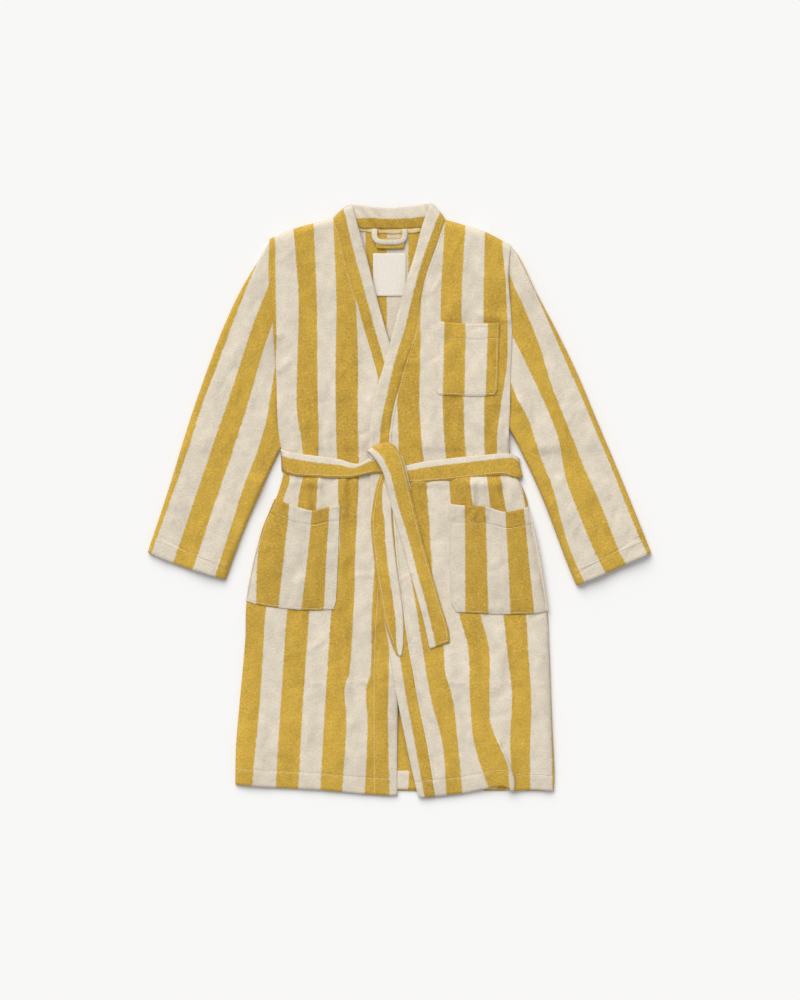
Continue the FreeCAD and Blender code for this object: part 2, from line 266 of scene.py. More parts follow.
LEFT_SIDE = joined(
    smooth([(278, -522), (279, -491), (275, -404), (269, -251), (266, -201), (236, -37), (229, 4),
            (213, 41), (203, 62), (199, 88)]),
    smooth([(199, 88), (197, 114), (199, 160), (200, 220), (203, 298), (200, 350), (196, 407),
            (201, 459)]))
LEFT_TOP = smooth([(82.8, 505), (118, 495), (153, 484), (201, 459)])
LEFT_BAND_TOP = smooth([(57.5, 535), (73, 520), (82.8, 505)])
LEFT_HEM = smooth([(65, -532), (115, -526), (162, -517), (190, -514), (204, -523)])
LEFT_HEM_BEHIND = smooth([(204, -523), (236, -520), (278, -522)])
LEFT_SEAM = smooth([(65, -532), (50, -440), (33, -358), (25, -310), (19, -279), (8, -204), (-2.6, -127),
                    (-10, -39), (-17, 60), (-18, 108), (-14, 148), (-6, 184), (10, 244), (29.5, 308),
                    (36.5, 348), (46.6, 398), (61, 442), (82.8, 505)])
LEFT_MIDDLE = [(46, -533), (29, -440), (13.5, -358), (6, -310), (-11, -204), (-20, -127), (-29, -39),
               (-33, 60), (-34.5, 108), (-31, 148), (-23, 184), (-9.5, 244), (10, 308), (19.8, 348),
               (31.7, 398), (45.2, 442), (73.5, 520)]
LEFT_EDGE = smooth([(36, -534), (22, -477), (-2, -358), (-12, -302), (-19, -254), (-32, -186),
                    (-36, -145), (-47, -60), (-51, 0), (-52, 60), (-53, 108), (-49, 148), (-44, 184),
                    (-26, 245), (-9, 308), (1.5, 348), (15, 398), (28.7, 442), (43, 496), (57.5, 535)])
PLEAT = smooth([(204, -523), (206.5, -508), (199.5, -482), (182.4, -440), (166, -404), (163, -358),
                (162, -310), (150, -204), (129, 28), (119, 104), (115, 248), (113, 359), (117, 455),
                (118, 495)])
BACK_HEM = smooth([(-293, -508), (-146, -514), (8, -518), (115, -518), (200, -517), (277, -517)])

# Each line is the border between two stripes, from the hem or cuff up.
RIGHT_LINES = Stripes([
    [(-265, -516), (-254, -402), (-247, -310), (-240, -204), (-221, -60), (-205, 10), (-196, 40),
     (-215, 104), (-221, 168), (-221, 300), (-223, 455)],
    [(-222, -516), (-215, -402), (-209, -310), (-202, -204), (-187, -60), (-180, 10), (-173, 45),
     (-175, 104), (-184, 168), (-180.5, 359), (-187, 455)],
    [(-181, -516), (-175, -402), (-169, -310), (-162, -204), (-150, -30), (-146, 40), (-145, 104),
     (-147, 248), (-148, 359), (-152, 455)],
    [(-141.5, -516), (-135, -402), (-129, -310), (-122, -204), (-107, -79), (-109, 10), (-110, 60),
     (-113, 104), (-114, 248), (-112.5, 359), (-116, 455)],
    [(-102, -516), (-94.5, -402), (-98, -339), (-90, -310), (-82, -204), (-78, -79), (-74, 10),
     (-72, 60), (-74, 168), (-74, 248), (-77, 362)],
    [(-61, -516), (-56.5, -402), (-59, -339), (-51, -310), (-49, -204), (-41, -79), (-38, 10),
     (-37, 104), (-37, 248)],
], first=1)
LEFT_LINES = Stripes([
    [(85, -520), (79, -440), (58, -358), (42, -265), (33, -204), (20, -127), (8, -39), (-0.8, 60),
     (-1, 108), (-3.5, 184), (-4, 248)],
    [(113, -520), (106, -440), (97, -358), (83, -310), (80, -265), (66, -204), (58, -100), (50, 28),
     (41, 104), (37, 168), (38, 248), (39, 330)],
    [(162, -520), (136, -440), (128, -358), (125, -265), (109, -204), (97, -90), (91, 28), (82, 104),
     (79, 168), (77, 248), (75, 359), (80, 455)],
    [(200, -523), (201, -507), (196, -476), (181, -440), (165, -403), (163, -358), (162, -265),
     (147, -204), (138, -70), (129, 28), (119, 104), (115, 248), (112.5, 359), (117, 455)],
    [(206, -523), (207, -506), (201, -478), (200, -423), (203.5, -350), (193.5, -265), (188, -204),
     (171, -60), (160, 28), (154, 104), (154, 248), (152, 359), (154, 455)],
    [(236, -520), (236, -440), (238, -358), (232, -265), (228, -204), (201, -60), (184, 28), (176, 104),
     (183, 168), (195, 248), (194, 359), (187, 455)],
    [(276, -520), (274, -440), (270, -300), (266, -210), (236, -60), (219, 28), (207, 70), (206, 200)],
], first=2)
RIGHT_BAND_LINES = Stripes([RIGHT_MIDDLE], first=1)
LEFT_BAND_LINES = Stripes([LEFT_MIDDLE], first=2)
BACK_LINES = Stripes([
    [(place * 1.04 - 26, -520), (place - 3, 60), (place, 490)]
    for place in (-253, -214.5, -176, -137.5, -99, -60, -21.6, 17, 55.5, 94, 132.5, 171, 209.5)
], first=-3)

# A sleeve's outer and inner edges run from its armhole to its cuff. Armholes and cuffs run inwards.
RIGHT_SLEEVE_OUT = smooth([(-233, 466), (-254.5, 428), (-283, 380), (-314, 314.5), (-344, 236),
                           (-375, 146.5), (-414, 20), (-451.4, -93)])
RIGHT_SLEEVE_IN = smooth([(-211, 101), (-235, 50), (-254.5, 6), (-281, -55), (-313, -141.5)])
RIGHT_ARMHOLE = smooth([(-233, 466), (-227, 400), (-221, 330), (-214, 230), (-211, 101)])
RIGHT_CUFF = smooth([(-451.4, -93), (-411, -110), (-368, -125), (-313, -141.5)])
RIGHT_SLEEVE_LINES = Stripes([
    [(-445.5, -95), (-407, 13), (-379, 94), (-351, 181), (-326.5, 245), (-302, 312), (-274, 382),
     (-254.5, 428)],
    [(-405.5, -109), (-366, 8), (-346, 67), (-326.5, 124), (-296, 214), (-261, 321), (-234, 389)],
    [(-370, -121), (-331, -4), (-298, 94), (-270, 181), (-251, 249), (-227, 321)],
    [(-331, -137), (-305, -55), (-279, 26), (-257, 83), (-239, 142), (-229, 203)],
], first=1, along=(161, 407))
LEFT_SLEEVE_OUT = smooth([(198, 461), (214.5, 440), (247, 373.5), (287, 297), (321.5, 225), (354, 147),
                          (404, 28), (453, -94)])
LEFT_SLEEVE_IN = smooth([(196, 135), (214.5, 100), (241, 46), (267, -15), (300, -103), (320, -152)])
LEFT_ARMHOLE = smooth([(198, 461), (191, 407), (195, 330), (195, 220), (196, 135)])
LEFT_CUFF = smooth([(453, -94), (410, -113), (366, -133), (320, -152)])
LEFT_SLEEVE_LINES = Stripes([
    [(333, -146), (313, -101), (297, -55), (275, 28), (257, 72), (233, 146), (214, 181), (199, 219)],
    [(371, -130.5), (347, -81), (313, 2), (300, 39), (287, 111), (274, 148), (260, 181), (236, 232),
     (205, 295)],
    [(408, -114), (395, -89), (361, -2), (341, 41), (319, 94), (300, 142), (275, 205), (247, 295),
     (201.6, 400)],
    [(447, -97), (433, -68), (409, -9), (382.5, 59), (356, 120), (331, 181), (310.5, 227), (282, 291),
     (247, 369), (210, 446)],
], first=1, along=(-189, 417))

# ---- soft folds ----
# Each ridge: the X and Y of its start, those of its end, its height and its half width.
FOLDS = [
    (146, 334, 196, 326, 3.6, 8), (146, 312, 190, 304, -1.2, 8), (-216, 236, -184, 268, 3.2, 8),
    (-206, 262, -176, 292, -1.0, 10), (-150, 470, -128, 330, 1.0, 18), (120, 470, 100, 330, 1.2, 20),
    (-190, 150, -140, 210, 1.1, 16), (150, 130, 110, 200, 1.2, 16), (60, 420, 66, 250, 1.0, 14),
    (-250, -300, -262, -500, 1.6, 16), (-196, -230, -204, -520, 1.3, 18),
    (-110, -220, -126, -515, 1.4, 18), (-60, -250, -76, -510, 1.1, 16), (100, -240, 92, -500, 1.6, 16),
    (128, -240, 140, -420, 1.4, 13), (225, -230, 240, -500, 1.5, 17), (192, -215, 186, -380, 1.2, 14),
    (-140, -30, -150, -180, 0.8, 18), (170, -40, 176, -190, 0.8, 18), (-240, 400, -300, 250, 1.4, 15),
    (-310, 260, -372, 60, 1.3, 16), (-262, 150, -330, -40, 1.2, 14), (-232, 250, -262, 150, -1.0, 11),
    (-380, 60, -420, -70, 1.1, 14), (214, 420, 262, 300, 1.3, 14), (276, 240, 338, 90, 1.3, 16),
    (214, 156, 232, 118, -1.8, 9), (203, 200, 236, 150, 1.8, 8), (240, 90, 300, -50, 1.2, 13),
    (350, 60, 410, -70, 1.2, 15), (226, 178, 268, 128, 1.3, 9), (-98, -230, -94, -330, 3.0, 9),
    (-94, -330, -80, -400, 1.8, 10), (-150, -260, -160, -420, 1.8, 12), (120, -215, 134, -330, 2.6, 10),
    (88, -270, 108, -420, 2.2, 11), (164, -215, 176, -330, 1.6, 9), (36, -60, 44, -200, 1.2, 8),
    (150, -200, 158, -260, 1.5, 9), (-232, 330, -218, 250, 1.6, 8), (96, 90, 118, 180, 1.5, 9),
    (-96, 100, -110, 200, 1.6, 9), (60, 110, 52, 190, 1.2, 8), (-60, 110, -52, 180, 1.4, 9),
    (178, 100, 168, 180, 1.6, 9), (218, 172, 258, 88, 3.2, 12), (258, 88, 320, -40, 2.0, 12),
    (-186, 33, -146, 31, 2.6, 8), (128, 30, 184, 28, 2.4, 8), (34, 33, 84, 31, 2.4, 8),
    (14, 24, 44, -90, 2.4, 13), (-112, 28, -104, -60, 2.2, 9), (-100, -70, -108, -190, 2.0, 9),
]


def gathers():
    """Ridges where the belt draws the cloth in: a fan of small ones, and hollows that lie between two."""
    chance = np.random.default_rng(7)
    made = []
    for across in np.arange(-190, 195, 15.5):
        for away, near in ((1, 96.0), (-1, 34.0)):
            reach = chance.uniform(26, 78)
            start = across + chance.uniform(-5, 5)
            lean = chance.uniform(-0.12, 0.12) + across * 0.0007
            height = chance.uniform(0.7, 1.9)
            width = chance.uniform(3.6, 6.4)
            made.append((start, near, start + away * reach * lean, near + away * reach, height, width))
    hollows = ((-157, 38, 52), (-91, 36, 60), (141, 30, 58), (188, 34, 40), (-157, 92, 46), (96, 92, 60))
    for across, near, reach in hollows:
        far = near + math.copysign(reach, near - WAIST)
        lean = 3 if near < WAIST else -3
        for beside, spread, height, width in ((-9, -2, 3.4, 5.2), (9, 3, 3.0, 5.6), (0, 0, -2.6, 4.6)):
            start = across + beside
            made.append((start, near, start + spread + lean, far, height, width))
    return made


GATHERS = gathers()
LATTICE_SIZE = 64
LATTICE = np.random.default_rng(11).uniform(-1, 1, (LATTICE_SIZE, LATTICE_SIZE))
LATTICE_START = (20.3, 17.7)    # where the frame's origin lies in the lattice


def eased(t):
    """From 0 to 1, with neither slope nor bend at its ends."""
    return t * t * t * (t * (t * 6 - 15) + 10)


def uneven(x, y, across, along, shift=0.0, lean=0.0):
    """Smooth unevenness between -1 and 1, with bumps of the given size across and along the robe."""
    u = (x + lean * y) / across + LATTICE_START[0] + shift
    v = y / along + LATTICE_START[1] + shift * 1.7
    column, row = np.floor(u).astype(int), np.floor(v).astype(int)
    s, t = eased(u - column), eased(v - row)
    columns = column % LATTICE_SIZE, (column + 1) % LATTICE_SIZE
    levels = []
    for lattice_row in (row % LATTICE_SIZE, (row + 1) % LATTICE_SIZE):
        left, right = (LATTICE[lattice_row, lattice_column] for lattice_column in columns)
        levels.append(left + (right - left) * s)
    return levels[0] + (levels[1] - levels[0]) * t


def ripple(x, y):
    """The rise and fall of cloth that was laid down by hand: long along the robe and short across it."""
    slow = 3.0 * uneven(x, y, 42, 120) + 2.8 * uneven(x, y, 26, 60, shift=5.1, lean=0.25)
    fine = 1.0 * uneven(x, y, 14, 32, shift=9.4, lean=-0.2) + 0.3 * uneven(x, y, 8, 14, shift=2.2)
    sharp = np.maximum(0, 1 - 5 * np.abs(uneven(x, y, 52, 64, shift=13.5, lean=-0.5)))
    return slow + fine + 2.6 * sharp * uneven(x, y, 40, 40, shift=3.3)


def ridges(x, y, folds):
    """The sum of the ridges at each point."""
    total = np.zeros_like(x)
    for x0, y0, x1, y1, height, width in folds:
        run = np.array([x1 - x0, y1 - y0], float)
        t = np.clip(((x - x0) * run[0] + (y - y0) * run[1]) / (run @ run), 0, 1)
        away = (x - x0 - t * run[0]) ** 2 + (y - y0 - t * run[1]) ** 2
        total = total + height * np.exp(-away / width**2)
    return total


def relief(x, y):
    """How far the cloth's folds lift it. All layers share it, so that they stay on each other."""
    reach, least, deepest, raised = 25, 0.15, 0.7, 0.8
    calm = 1 - np.exp(-(((y - WAIST) / reach) ** 6))
    total = ripple(x, y) + ridges(x, y, FOLDS) + ridges(x, y, GATHERS) * calm
    total = (total + raised) * (least + (1 - least) * calm)
    return np.where(total > 0, total, deepest * np.tanh(total / deepest))


def along_curve(curve, y):
    """Where a curve that climbs the robe lies across it, at each height y."""
    order = np.argsort(curve[:, 1])
    return np.interp(y, curve[order, 1], curve[order, 0])


def above_curve(curve, x, y):
    """How far each point lies above a curve that runs across the robe."""
    order = np.argsort(curve[:, 0])
    return y - np.interp(x, curve[order, 0], curve[order, 1])


def front_height(x, y, side, top, hem, base):
    """The middle of a front's cloth: closed to the back at the side and shoulder, and low at the hem."""
    side_radius, shoulder_radius, settling = 20, 13, 32
    on_back = SEAM_LEVEL + 1.4
    from_side = np.abs(x - along_curve(side, y))
    sewn = 1 - smoothstep(*SIDE_SEAM_TOP, y)
    closed_side = 1 - sewn * (1 - rounded(from_side, side_radius))
    share = np.minimum(closed_side, rounded(-above_curve(top, x, y), shoulder_radius))
    sunk = np.exp(-np.maximum(above_curve(hem, x, y), 0) / settling)
    settled = base - (base - on_back) * 0.85 * sunk
    return SEAM_LEVEL + (settled - SEAM_LEVEL + relief(x, y) * (1 - 0.6 * sunk)) * share


def under(x, y):
    """The middle of the right front, which lies below. Its free lower edge sinks onto the back."""
    on_back, reach = 4.6, 26
    from_edge = np.abs(x - along_curve(RIGHT_EDGE, y))
    free = (1 - smoothstep(-440, -300, y)) * np.exp(-from_edge / reach)
    height = front_height(x, y, RIGHT_SIDE, RIGHT_TOP, RIGHT_HEM, UNDER_LEVEL)
    return height + (on_back - height) * free


LEFT_TOP_ALL = joined(LEFT_BAND_TOP, LEFT_TOP)
LEFT_HEM_ALL = joined(LEFT_HEM, LEFT_HEM_BEHIND)


def over(x, y):
    """The middle of the left front, which laps over, with the step of its pleat."""
    pleat_height, rise, drop = 5.6, 22, 1.3
    beyond = x - along_curve(PLEAT, y)
    before = np.exp(np.minimum(beyond, 0) / rise)
    after = np.exp(-np.maximum(beyond, 0) / drop)
    step = pleat_height * (1 - smoothstep(-452, -392, y)) * np.where(beyond < 0, before, after)
    return front_height(x, y, LEFT_SIDE, LEFT_TOP_ALL, LEFT_HEM_ALL, OVER_LEVEL) + step


def upper(x, y):
    """The middle of whichever front is on top."""
    laps = smoothstep(-3, 1, x - along_curve(LEFT_EDGE, y))
    return under(x, y) + (over(x, y) - under(x, y)) * laps


def raise_grid(flat, height, lift=0.0):
    """A flat grid with its heights."""
    x, y = flat[..., 0], flat[..., 1]
    return np.concatenate([flat, (height(x, y) + lift)[..., None]], -1)


# ---- meshes ----
RIM = 0.42    # how far a cloth's rounded edge stands out, as a share of its thickness


def normals(grid, wrap):
    """Unit normals of a grid of points."""
    down = np.gradient(grid, axis=0)
    across = np.gradient(grid, axis=1)
    if wrap:
        across = (np.roll(grid, -1, 1) - np.roll(grid, 1, 1)) / 2
    return unit(np.cross(across, down))


def quads(first, second):
    """Faces between two rows of point numbers."""
    return [(first[i], first[i + 1], second[i + 1], second[i]) for i in range(len(first) - 1)]


def border_of(grid, index):
    """The point numbers round a grid, and the way out of the grid at each."""
    border = np.concatenate([index[0], index[1:, -1], index[-1, -2::-1], index[-2:0:-1, 0]])
    pull = np.zeros_like(grid)
    for edge, inside in ((0, 1), (-1, -2)):
        pull[edge] += unit(grid[edge] - grid[inside])
        pull[:, edge] += unit(grid[:, edge] - grid[:, inside])
    return border, pull.reshape(-1, 3)[border]


def make_cloth(name, grid, numbers, thickness, material, wrap=False):
    """A closed cloth with rounded edges round a grid of its middle. A wrapped grid closes into a tube."""
    rows, columns = grid.shape[:2]
    total = rows * columns
    index = np.arange(total).reshape(rows, columns)
    ring = index if not wrap else np.hstack([index, index[:, :1]])
    faces = []
    for r in range(rows - 1):
        faces += quads(ring[r], ring[r + 1])
        faces += quads(ring[r + 1] + total, ring[r] + total)
    half = normals(grid, wrap) * thickness / 2
    points = [(grid + half).reshape(-1, 3), (grid - half).reshape(-1, 3)]
    coords = [numbers.reshape(-1, 2)] * 2
    count = 2 * total
    if wrap:
        loops = [(index[0], grid[0] - grid[1]), (index[-1], grid[-1] - grid[-2])]
    else:
        loops = [border_of(grid, index)]
    for border, away in loops:
        points.append(grid.reshape(-1, 3)[border] + unit(away) * thickness * RIM)
        coords.append(numbers.reshape(-1, 2)[border])
        rim = np.append(np.arange(count, count + len(border)), count)
        near = np.append(border, border[0])
        faces += quads(near, rim) + quads(rim, near + total)
        count += len(border)
    return mesh_object(name, np.vstack(points), faces, np.vstack(coords), material)


def mesh_object(name, points, faces, numbers, material):
    """A smooth-shaded object from points in millimetres, with stripe numbers as its cloth coordinates."""
    mesh = bpy.data.meshes.new(name)
    mesh.from_pydata((points * MM).tolist(), [], [tuple(int(i) for i in face) for face in faces])
    shaper = bmesh.new()
    shaper.from_mesh(mesh)
    bmesh.ops.recalc_face_normals(shaper, faces=shaper.faces)
    shaper.to_mesh(mesh)
    shaper.free()
    layer = mesh.uv_layers.new(name="cloth")
    corners = np.zeros(len(mesh.loops), np.int32)
    mesh.loops.foreach_get("vertex_index", corners)
    layer.data.foreach_set("uv", numbers[corners].astype(np.float32).ravel())
    mesh.shade_smooth()
    mesh.materials.append(material)
    made = bpy.data.objects.new(name, mesh)
    bpy.context.scene.collection.objects.link(made)
    return made


def surface_height(pieces):
    """A function that gives the highest point of some pieces under a flat point, in millimetres."""
    trees = [BVHTree.FromPolygons([v.co for v in o.data.vertices], [p.vertices for p in o.data.polygons])
             for o in pieces]

    def height(point):
        start = Vector((point[0] * MM, point[1] * MM, 1))
        hits = [tree.ray_cast(start, Vector((0, 0, -1)))[0] for tree in trees]
        tops = [hit.z / MM for hit in hits if hit is not None]
        return max(tops) if tops else None

    return height


# ---- materials ----
# Colours are linear.
CREAM = (0.765, 0.682, 0.550, 1)
CREAM_DARK = (0.632, 0.545, 0.410, 1)
YELLOW = (0.590, 0.356, 0.026, 1)
YELLOW_DEEP = (0.478, 0.272, 0.014, 1)
YELLOW_LIGHT = (0.735, 0.530, 0.175, 1)
THREAD_GOLD = (0.84, 0.65, 0.31, 1)
THREAD_CREAM = (0.84, 0.78, 0.67, 1)
LABEL_WHITE = (0.82, 0.76, 0.66, 1)
TAPE_GOLD = (0.78, 0.60, 0.28, 1)
FLOOR_WHITE = (0.90, 0.90, 0.90, 1)


def node(tree, kind, inputs=None, **settings):
    """A shader node with its settings, and its inputs as values or as links from other nodes' outputs."""
    made = tree.nodes.new(kind)
    for key, value in settings.items():
        setattr(made, key, value)
    for key, value in (inputs or {}).items():
        if isinstance(value, bpy.types.NodeSocket):
            tree.links.new(value, made.inputs[key])
        else:
            made.inputs[key].default_value = value
    return made


def maths(tree, operation, *values):
    """The output of a Math node."""
    made = node(tree, "ShaderNodeMath", dict(enumerate(values)), operation=operation)
    return made.outputs[0]


def noise(tree, vector, scale, detail=2.0, roughness=0.5):
    """The output of a noise texture. On a cloth, its scale counts bumps in the width of a stripe."""
    made = node(tree, "ShaderNodeTexNoise",
                {"Vector": vector, "Scale": scale, "Detail": detail, "Roughness": roughness})
    return made.outputs["Fac"]


def ranged(tree, value, low, high, out_low, out_high):
    """A value moved from one range to another, kept inside it."""
    inputs = {0: value, 1: low, 2: high, 3: out_low, 4: out_high}
    return node(tree, "ShaderNodeMapRange", inputs, clamp=True).outputs[0]


def patches(tree, vector, scale, detail, rough, seen, gives):
    """Soft patches of noise: its values in the seen range are moved to the range that it gives."""
    return ranged(tree, noise(tree, vector, scale, detail, rough), *seen, *gives)


def stretched(tree, vector, scale, location=(0, 0, 0)):
    """Coordinates scaled and moved by a Mapping node."""
    inputs = {"Vector": vector, "Location": location, "Scale": scale}
    return node(tree, "ShaderNodeMapping", inputs).outputs[0]


def grey(tree, value):
    """A grey colour from a number."""
    return node(tree, "ShaderNodeCombineColor", {0: value, 1: value, 2: value}).outputs[0]


def weighted(tree, *pairs):
    """The sum of some values, each times its weight."""
    parts = [maths(tree, "MULTIPLY", value, weight) for value, weight in pairs]
    total = parts[0]
    for part in parts[1:]:
        total = maths(tree, "ADD", total, part)
    return total


def mixed(tree, factor, first, second, blend="MIX"):
    """The colour output of a Mix node."""
    inputs = {0: factor, 6: first, 7: second}
    return node(tree, "ShaderNodeMix", inputs, data_type="RGBA", blend_type=blend).outputs[2]


def new_material(name, roughness, sheen=0.0):
    """An empty node material with its Principled shader."""
    material = bpy.data.materials.new(name)
    material.use_nodes = True
    tree = material.node_tree
    shader = tree.nodes["Principled BSDF"]
    shader.inputs["Roughness"].default_value = roughness
    shader.inputs["Sheen Weight"].default_value = sheen
    return material, tree, shader


def paint(tree, shader, colour, shade):
    """Gives a shader its colour, darkened by a grey number."""
    tree.links.new(mixed(tree, 1.0, colour, grey(tree, shade), "MULTIPLY"), shader.inputs["Base Color"])


def bump(tree, shader, height, strength, distance):
    """Gives a shader a bumped surface."""
    made = node(tree, "ShaderNodeBump", {"Strength": strength, "Distance": distance, "Height": height})
    tree.links.new(made.outputs[0], shader.inputs["Normal"])


def cloth_places(tree):
    """The cloth coordinates in stripe widths: across, along, and both as one vector."""
    uv = node(tree, "ShaderNodeUVMap", uv_map="cloth").outputs[0]
    parts = node(tree, "ShaderNodeSeparateXYZ", {0: uv}).outputs
    return parts[0], parts[1], uv


def stripe_mask(tree, across, uv, fuzz=0.05):
    """1 on cream and 0 on yellow, with the ragged line that pile leaves between two colours."""
    softness = 0.07
    ragged = maths(tree, "SUBTRACT", noise(tree, uv, 26, 3, 0.7), 0.5)
    slow = maths(tree, "SUBTRACT", noise(tree, uv, 3.5, 1), 0.5)
    shift = weighted(tree, (ragged, fuzz * 2.6), (slow, fuzz * 1.6))
    wave = maths(tree, "SINE", maths(tree, "MULTIPLY", maths(tree, "ADD", across, shift), -math.pi))
    return ranged(tree, wave, -softness, softness, 0, 1)


def yellow_pile(tree, along, uv, pale, waist_shade):
    """Yellow with flecks and worn spots, deeper and paler from place to place."""
    worn = patches(tree, uv, scale=9, detail=4, rough=0.72, seen=(0.38, 0.70), gives=(0, 0.62))
    fleck = patches(tree, uv, scale=10, detail=2, rough=0.6, seen=(0.60, 0.70), gives=(0, 1))
    streaks = stretched(tree, uv, (3.2, 0.7, 1))
    faded = patches(tree, streaks, scale=1.6, detail=3, rough=0.6, seen=(0.45, 0.75), gives=(0, 0.35))
    light_spots = maths(tree, "MAXIMUM", maths(tree, "MAXIMUM", worn, fleck), faded)
    wide = stretched(tree, uv, (0.8, 0.3, 1), (5.3, 2.1, 0))
    tone = maths(tree, "ADD", noise(tree, wide, 1.2, 3, 0.6), pale)
    # Painted shade: the yellow is deeper round the waist, where the belt's gathers shade the cloth, and
    # paler towards the top and bottom of the robe.
    if waist_shade:
        middle, near, far = 1.0, 3.5, 13
        from_middle = maths(tree, "ABSOLUTE", maths(tree, "SUBTRACT", along, middle))
        tone = maths(tree, "ADD", tone, ranged(tree, from_middle, near, far, -0.12, 0.14))
    depth = ranged(tree, tone, 0.35, 0.65, 0, 1)
    return mixed(tree, light_spots, mixed(tree, depth, YELLOW_DEEP, YELLOW), YELLOW_LIGHT)


def cream_pile(tree, uv):
    """Cream with darker mottling."""
    mottled = patches(tree, uv, scale=11, detail=3, rough=0.7, seen=(0.5, 0.75), gives=(0, 0.6))
    return mixed(tree, mottled, CREAM, CREAM_DARK)


def pile_bump(tree, shader, uv, pile):
    """Loops, fine unevenness and soft dents on a shader's surface."""
    cells = node(tree, "ShaderNodeTexVoronoi", {"Vector": uv, "Scale": 30.0, "Randomness": 1.0})
    dents = noise(tree, uv, 10, 2, 0.5)
    height = weighted(tree, (cells.outputs["Distance"], 0.6), (pile, 0.8), (dents, 0.9))
    bump(tree, shader, height, strength=0.6, distance=0.0012)


def terry(name, light=1.0, pale=0.0, waist_shade=False):
    """Striped terry: looped pile with a faint sheen. Its yellow may be painted deeper round the waist, as
    shade from the belt's gathers, and paler towards the robe's ends.
    """
    material, tree, shader = new_material(name, roughness=0.95, sheen=0.14)
    across, along, uv = cloth_places(tree)
    yellow = yellow_pile(tree, along, uv, pale, waist_shade)
    colour = mixed(tree, stripe_mask(tree, across, uv), yellow, cream_pile(tree, uv))
    pile = noise(tree, uv, 30, 4, 0.75)
    fine = ranged(tree, pile, 0.25, 0.75, 0.84 * light, 1.12 * light)
    clumps = patches(tree, uv, scale=11, detail=3, rough=0.6, seen=(0.3, 0.7), gives=(0.86, 1.13))
    broad = patches(tree, uv, scale=1.7, detail=4, rough=0.6, seen=(0.3, 0.7), gives=(0.91, 1.07))
    paint(tree, shader, colour, maths(tree, "MULTIPLY", fine, maths(tree, "MULTIPLY", broad, clumps)))
    pile_bump(tree, shader, uv, pile)
    shader.inputs["Sheen Roughness"].default_value = 0.45
    shader.inputs["Specular IOR Level"].default_value = 0.15
    return material


def thread_material():
    """Sewing thread: pale gold where it crosses yellow, and cream on cream."""
    material, tree, shader = new_material("sewing_thread", roughness=0.6, sheen=0.15)
    across, _, uv = cloth_places(tree)
    colour = mixed(tree, stripe_mask(tree, across, uv, fuzz=0.01), THREAD_GOLD, THREAD_CREAM)
    twist = patches(tree, uv, scale=60, detail=2, rough=0.5, seen=(0.35, 0.65), gives=(0.86, 1.08))
    paint(tree, shader, colour, twist)
    return material


def woven_material(name, colour, weave):
    """A flat woven tape or label, with the given number of threads in the width of a stripe."""
    material, tree, shader = new_material(name, roughness=0.75, sheen=0.1)
    across, along, uv = cloth_places(tree)
    turns = weave * 2 * math.pi
    warp, weft = (maths(tree, "SINE", maths(tree, "MULTIPLY", way, turns)) for way in (across, along))
    shade = patches(tree, uv, scale=9, detail=3, rough=0.5, seen=(0.3, 0.7), gives=(0.95, 1.04))
    paint(tree, shader, colour, shade)
    bump(tree, shader, maths(tree, "MULTIPLY", warp, weft), strength=0.3, distance=0.0003)
    return material


# The body's yellow carries painted shade round the waist.
BODY = terry("body_terry", light=1.0, pale=0.02, waist_shade=True)
SLEEVE = terry("sleeve_terry", light=0.99, pale=0.12)
POCKET = terry("pocket_terry", light=0.945, pale=-0.10)
CHEST_POCKET = terry("chest_pocket_terry", light=1.02, pale=0.06)
BANDS = terry("band_terry", light=0.99)
BELTS = terry("belt_terry", light=1.03)
THREAD = thread_material()
LABEL = woven_material("label_tape", LABEL_WHITE, weave=46.0)
TAPE = woven_material("neck_trim", TAPE_GOLD, weave=9.0)


# ---- how a piece joins the frame ----
def area_of(grid, layers=1):
    """The flat area of a grid's cut, in square metres."""
    across = np.diff(grid, axis=1)[:-1, :, :2]
    down = np.diff(grid, axis=0)[:, :-1, :2]
    cells = np.abs(across[..., 0] * down[..., 1] - across[..., 1] * down[..., 0])
    return float(cells.sum()) * MM * MM * layers


def place(piece, body, slot, nodes, blend=None):
    """Rides a piece on a body, or bakes its place into its mesh where a blend is given, and hides the CAD
    nodes it stands for.
    """
    if blend is None:
        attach(piece, body)
    else:
        second, start, end = blend
        [c * MM for c in start]
        [c * MM for c in end]
        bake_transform(piece)
    if nodes:
        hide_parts(*nodes)


# A blend: the second body, and the points in millimetres where it starts and ends.
RIGHT_CORNER = ("front_right_corner", (-77, -442, 8), (-59, -459, 8))
LEFT_CORNER = ("front_left_corner", (81.5, -443.5, 11), (64.4, -461.7, 11))
LONG_TAIL = ("belt_long_tail", (0, 36, 15), (0, 8, 15))
SHORT_TAIL = ("belt_short_tail", (0, 36, 15), (0, 8, 15))
HANGER_LOOP = ("hanger_loop", (-17, 489, 8), (-17, 480, 8))
RIGHT_SLEEVE_BEND = ("sleeve_right", (-226, 288, 6), (-270, 285.5, 6))
LEFT_SLEEVE_BEND = ("sleeve_left", (203, 290, 6), (247, 289.7, 6))


# ---- the back ----
def back_height(x, y):
    """The middle of the back's cloth, lifted over the belt behind it and a little at the side seams."""
    over_belt, turned_up, reach = 4.05, 0.9, 5
    lifted = over_belt * smoothstep(28, 42, y) * (1 - smoothstep(86, 100, y))
    from_side = np.minimum(x - along_curve(RIGHT_SIDE, y), along_curve(LEFT_SIDE, y) - x)
    sewn = 1 - smoothstep(*SIDE_SEAM_TOP, y)
    return BACK_LEVEL + lifted + turned_up * sewn * np.exp(-np.maximum(from_side, 0) / reach)


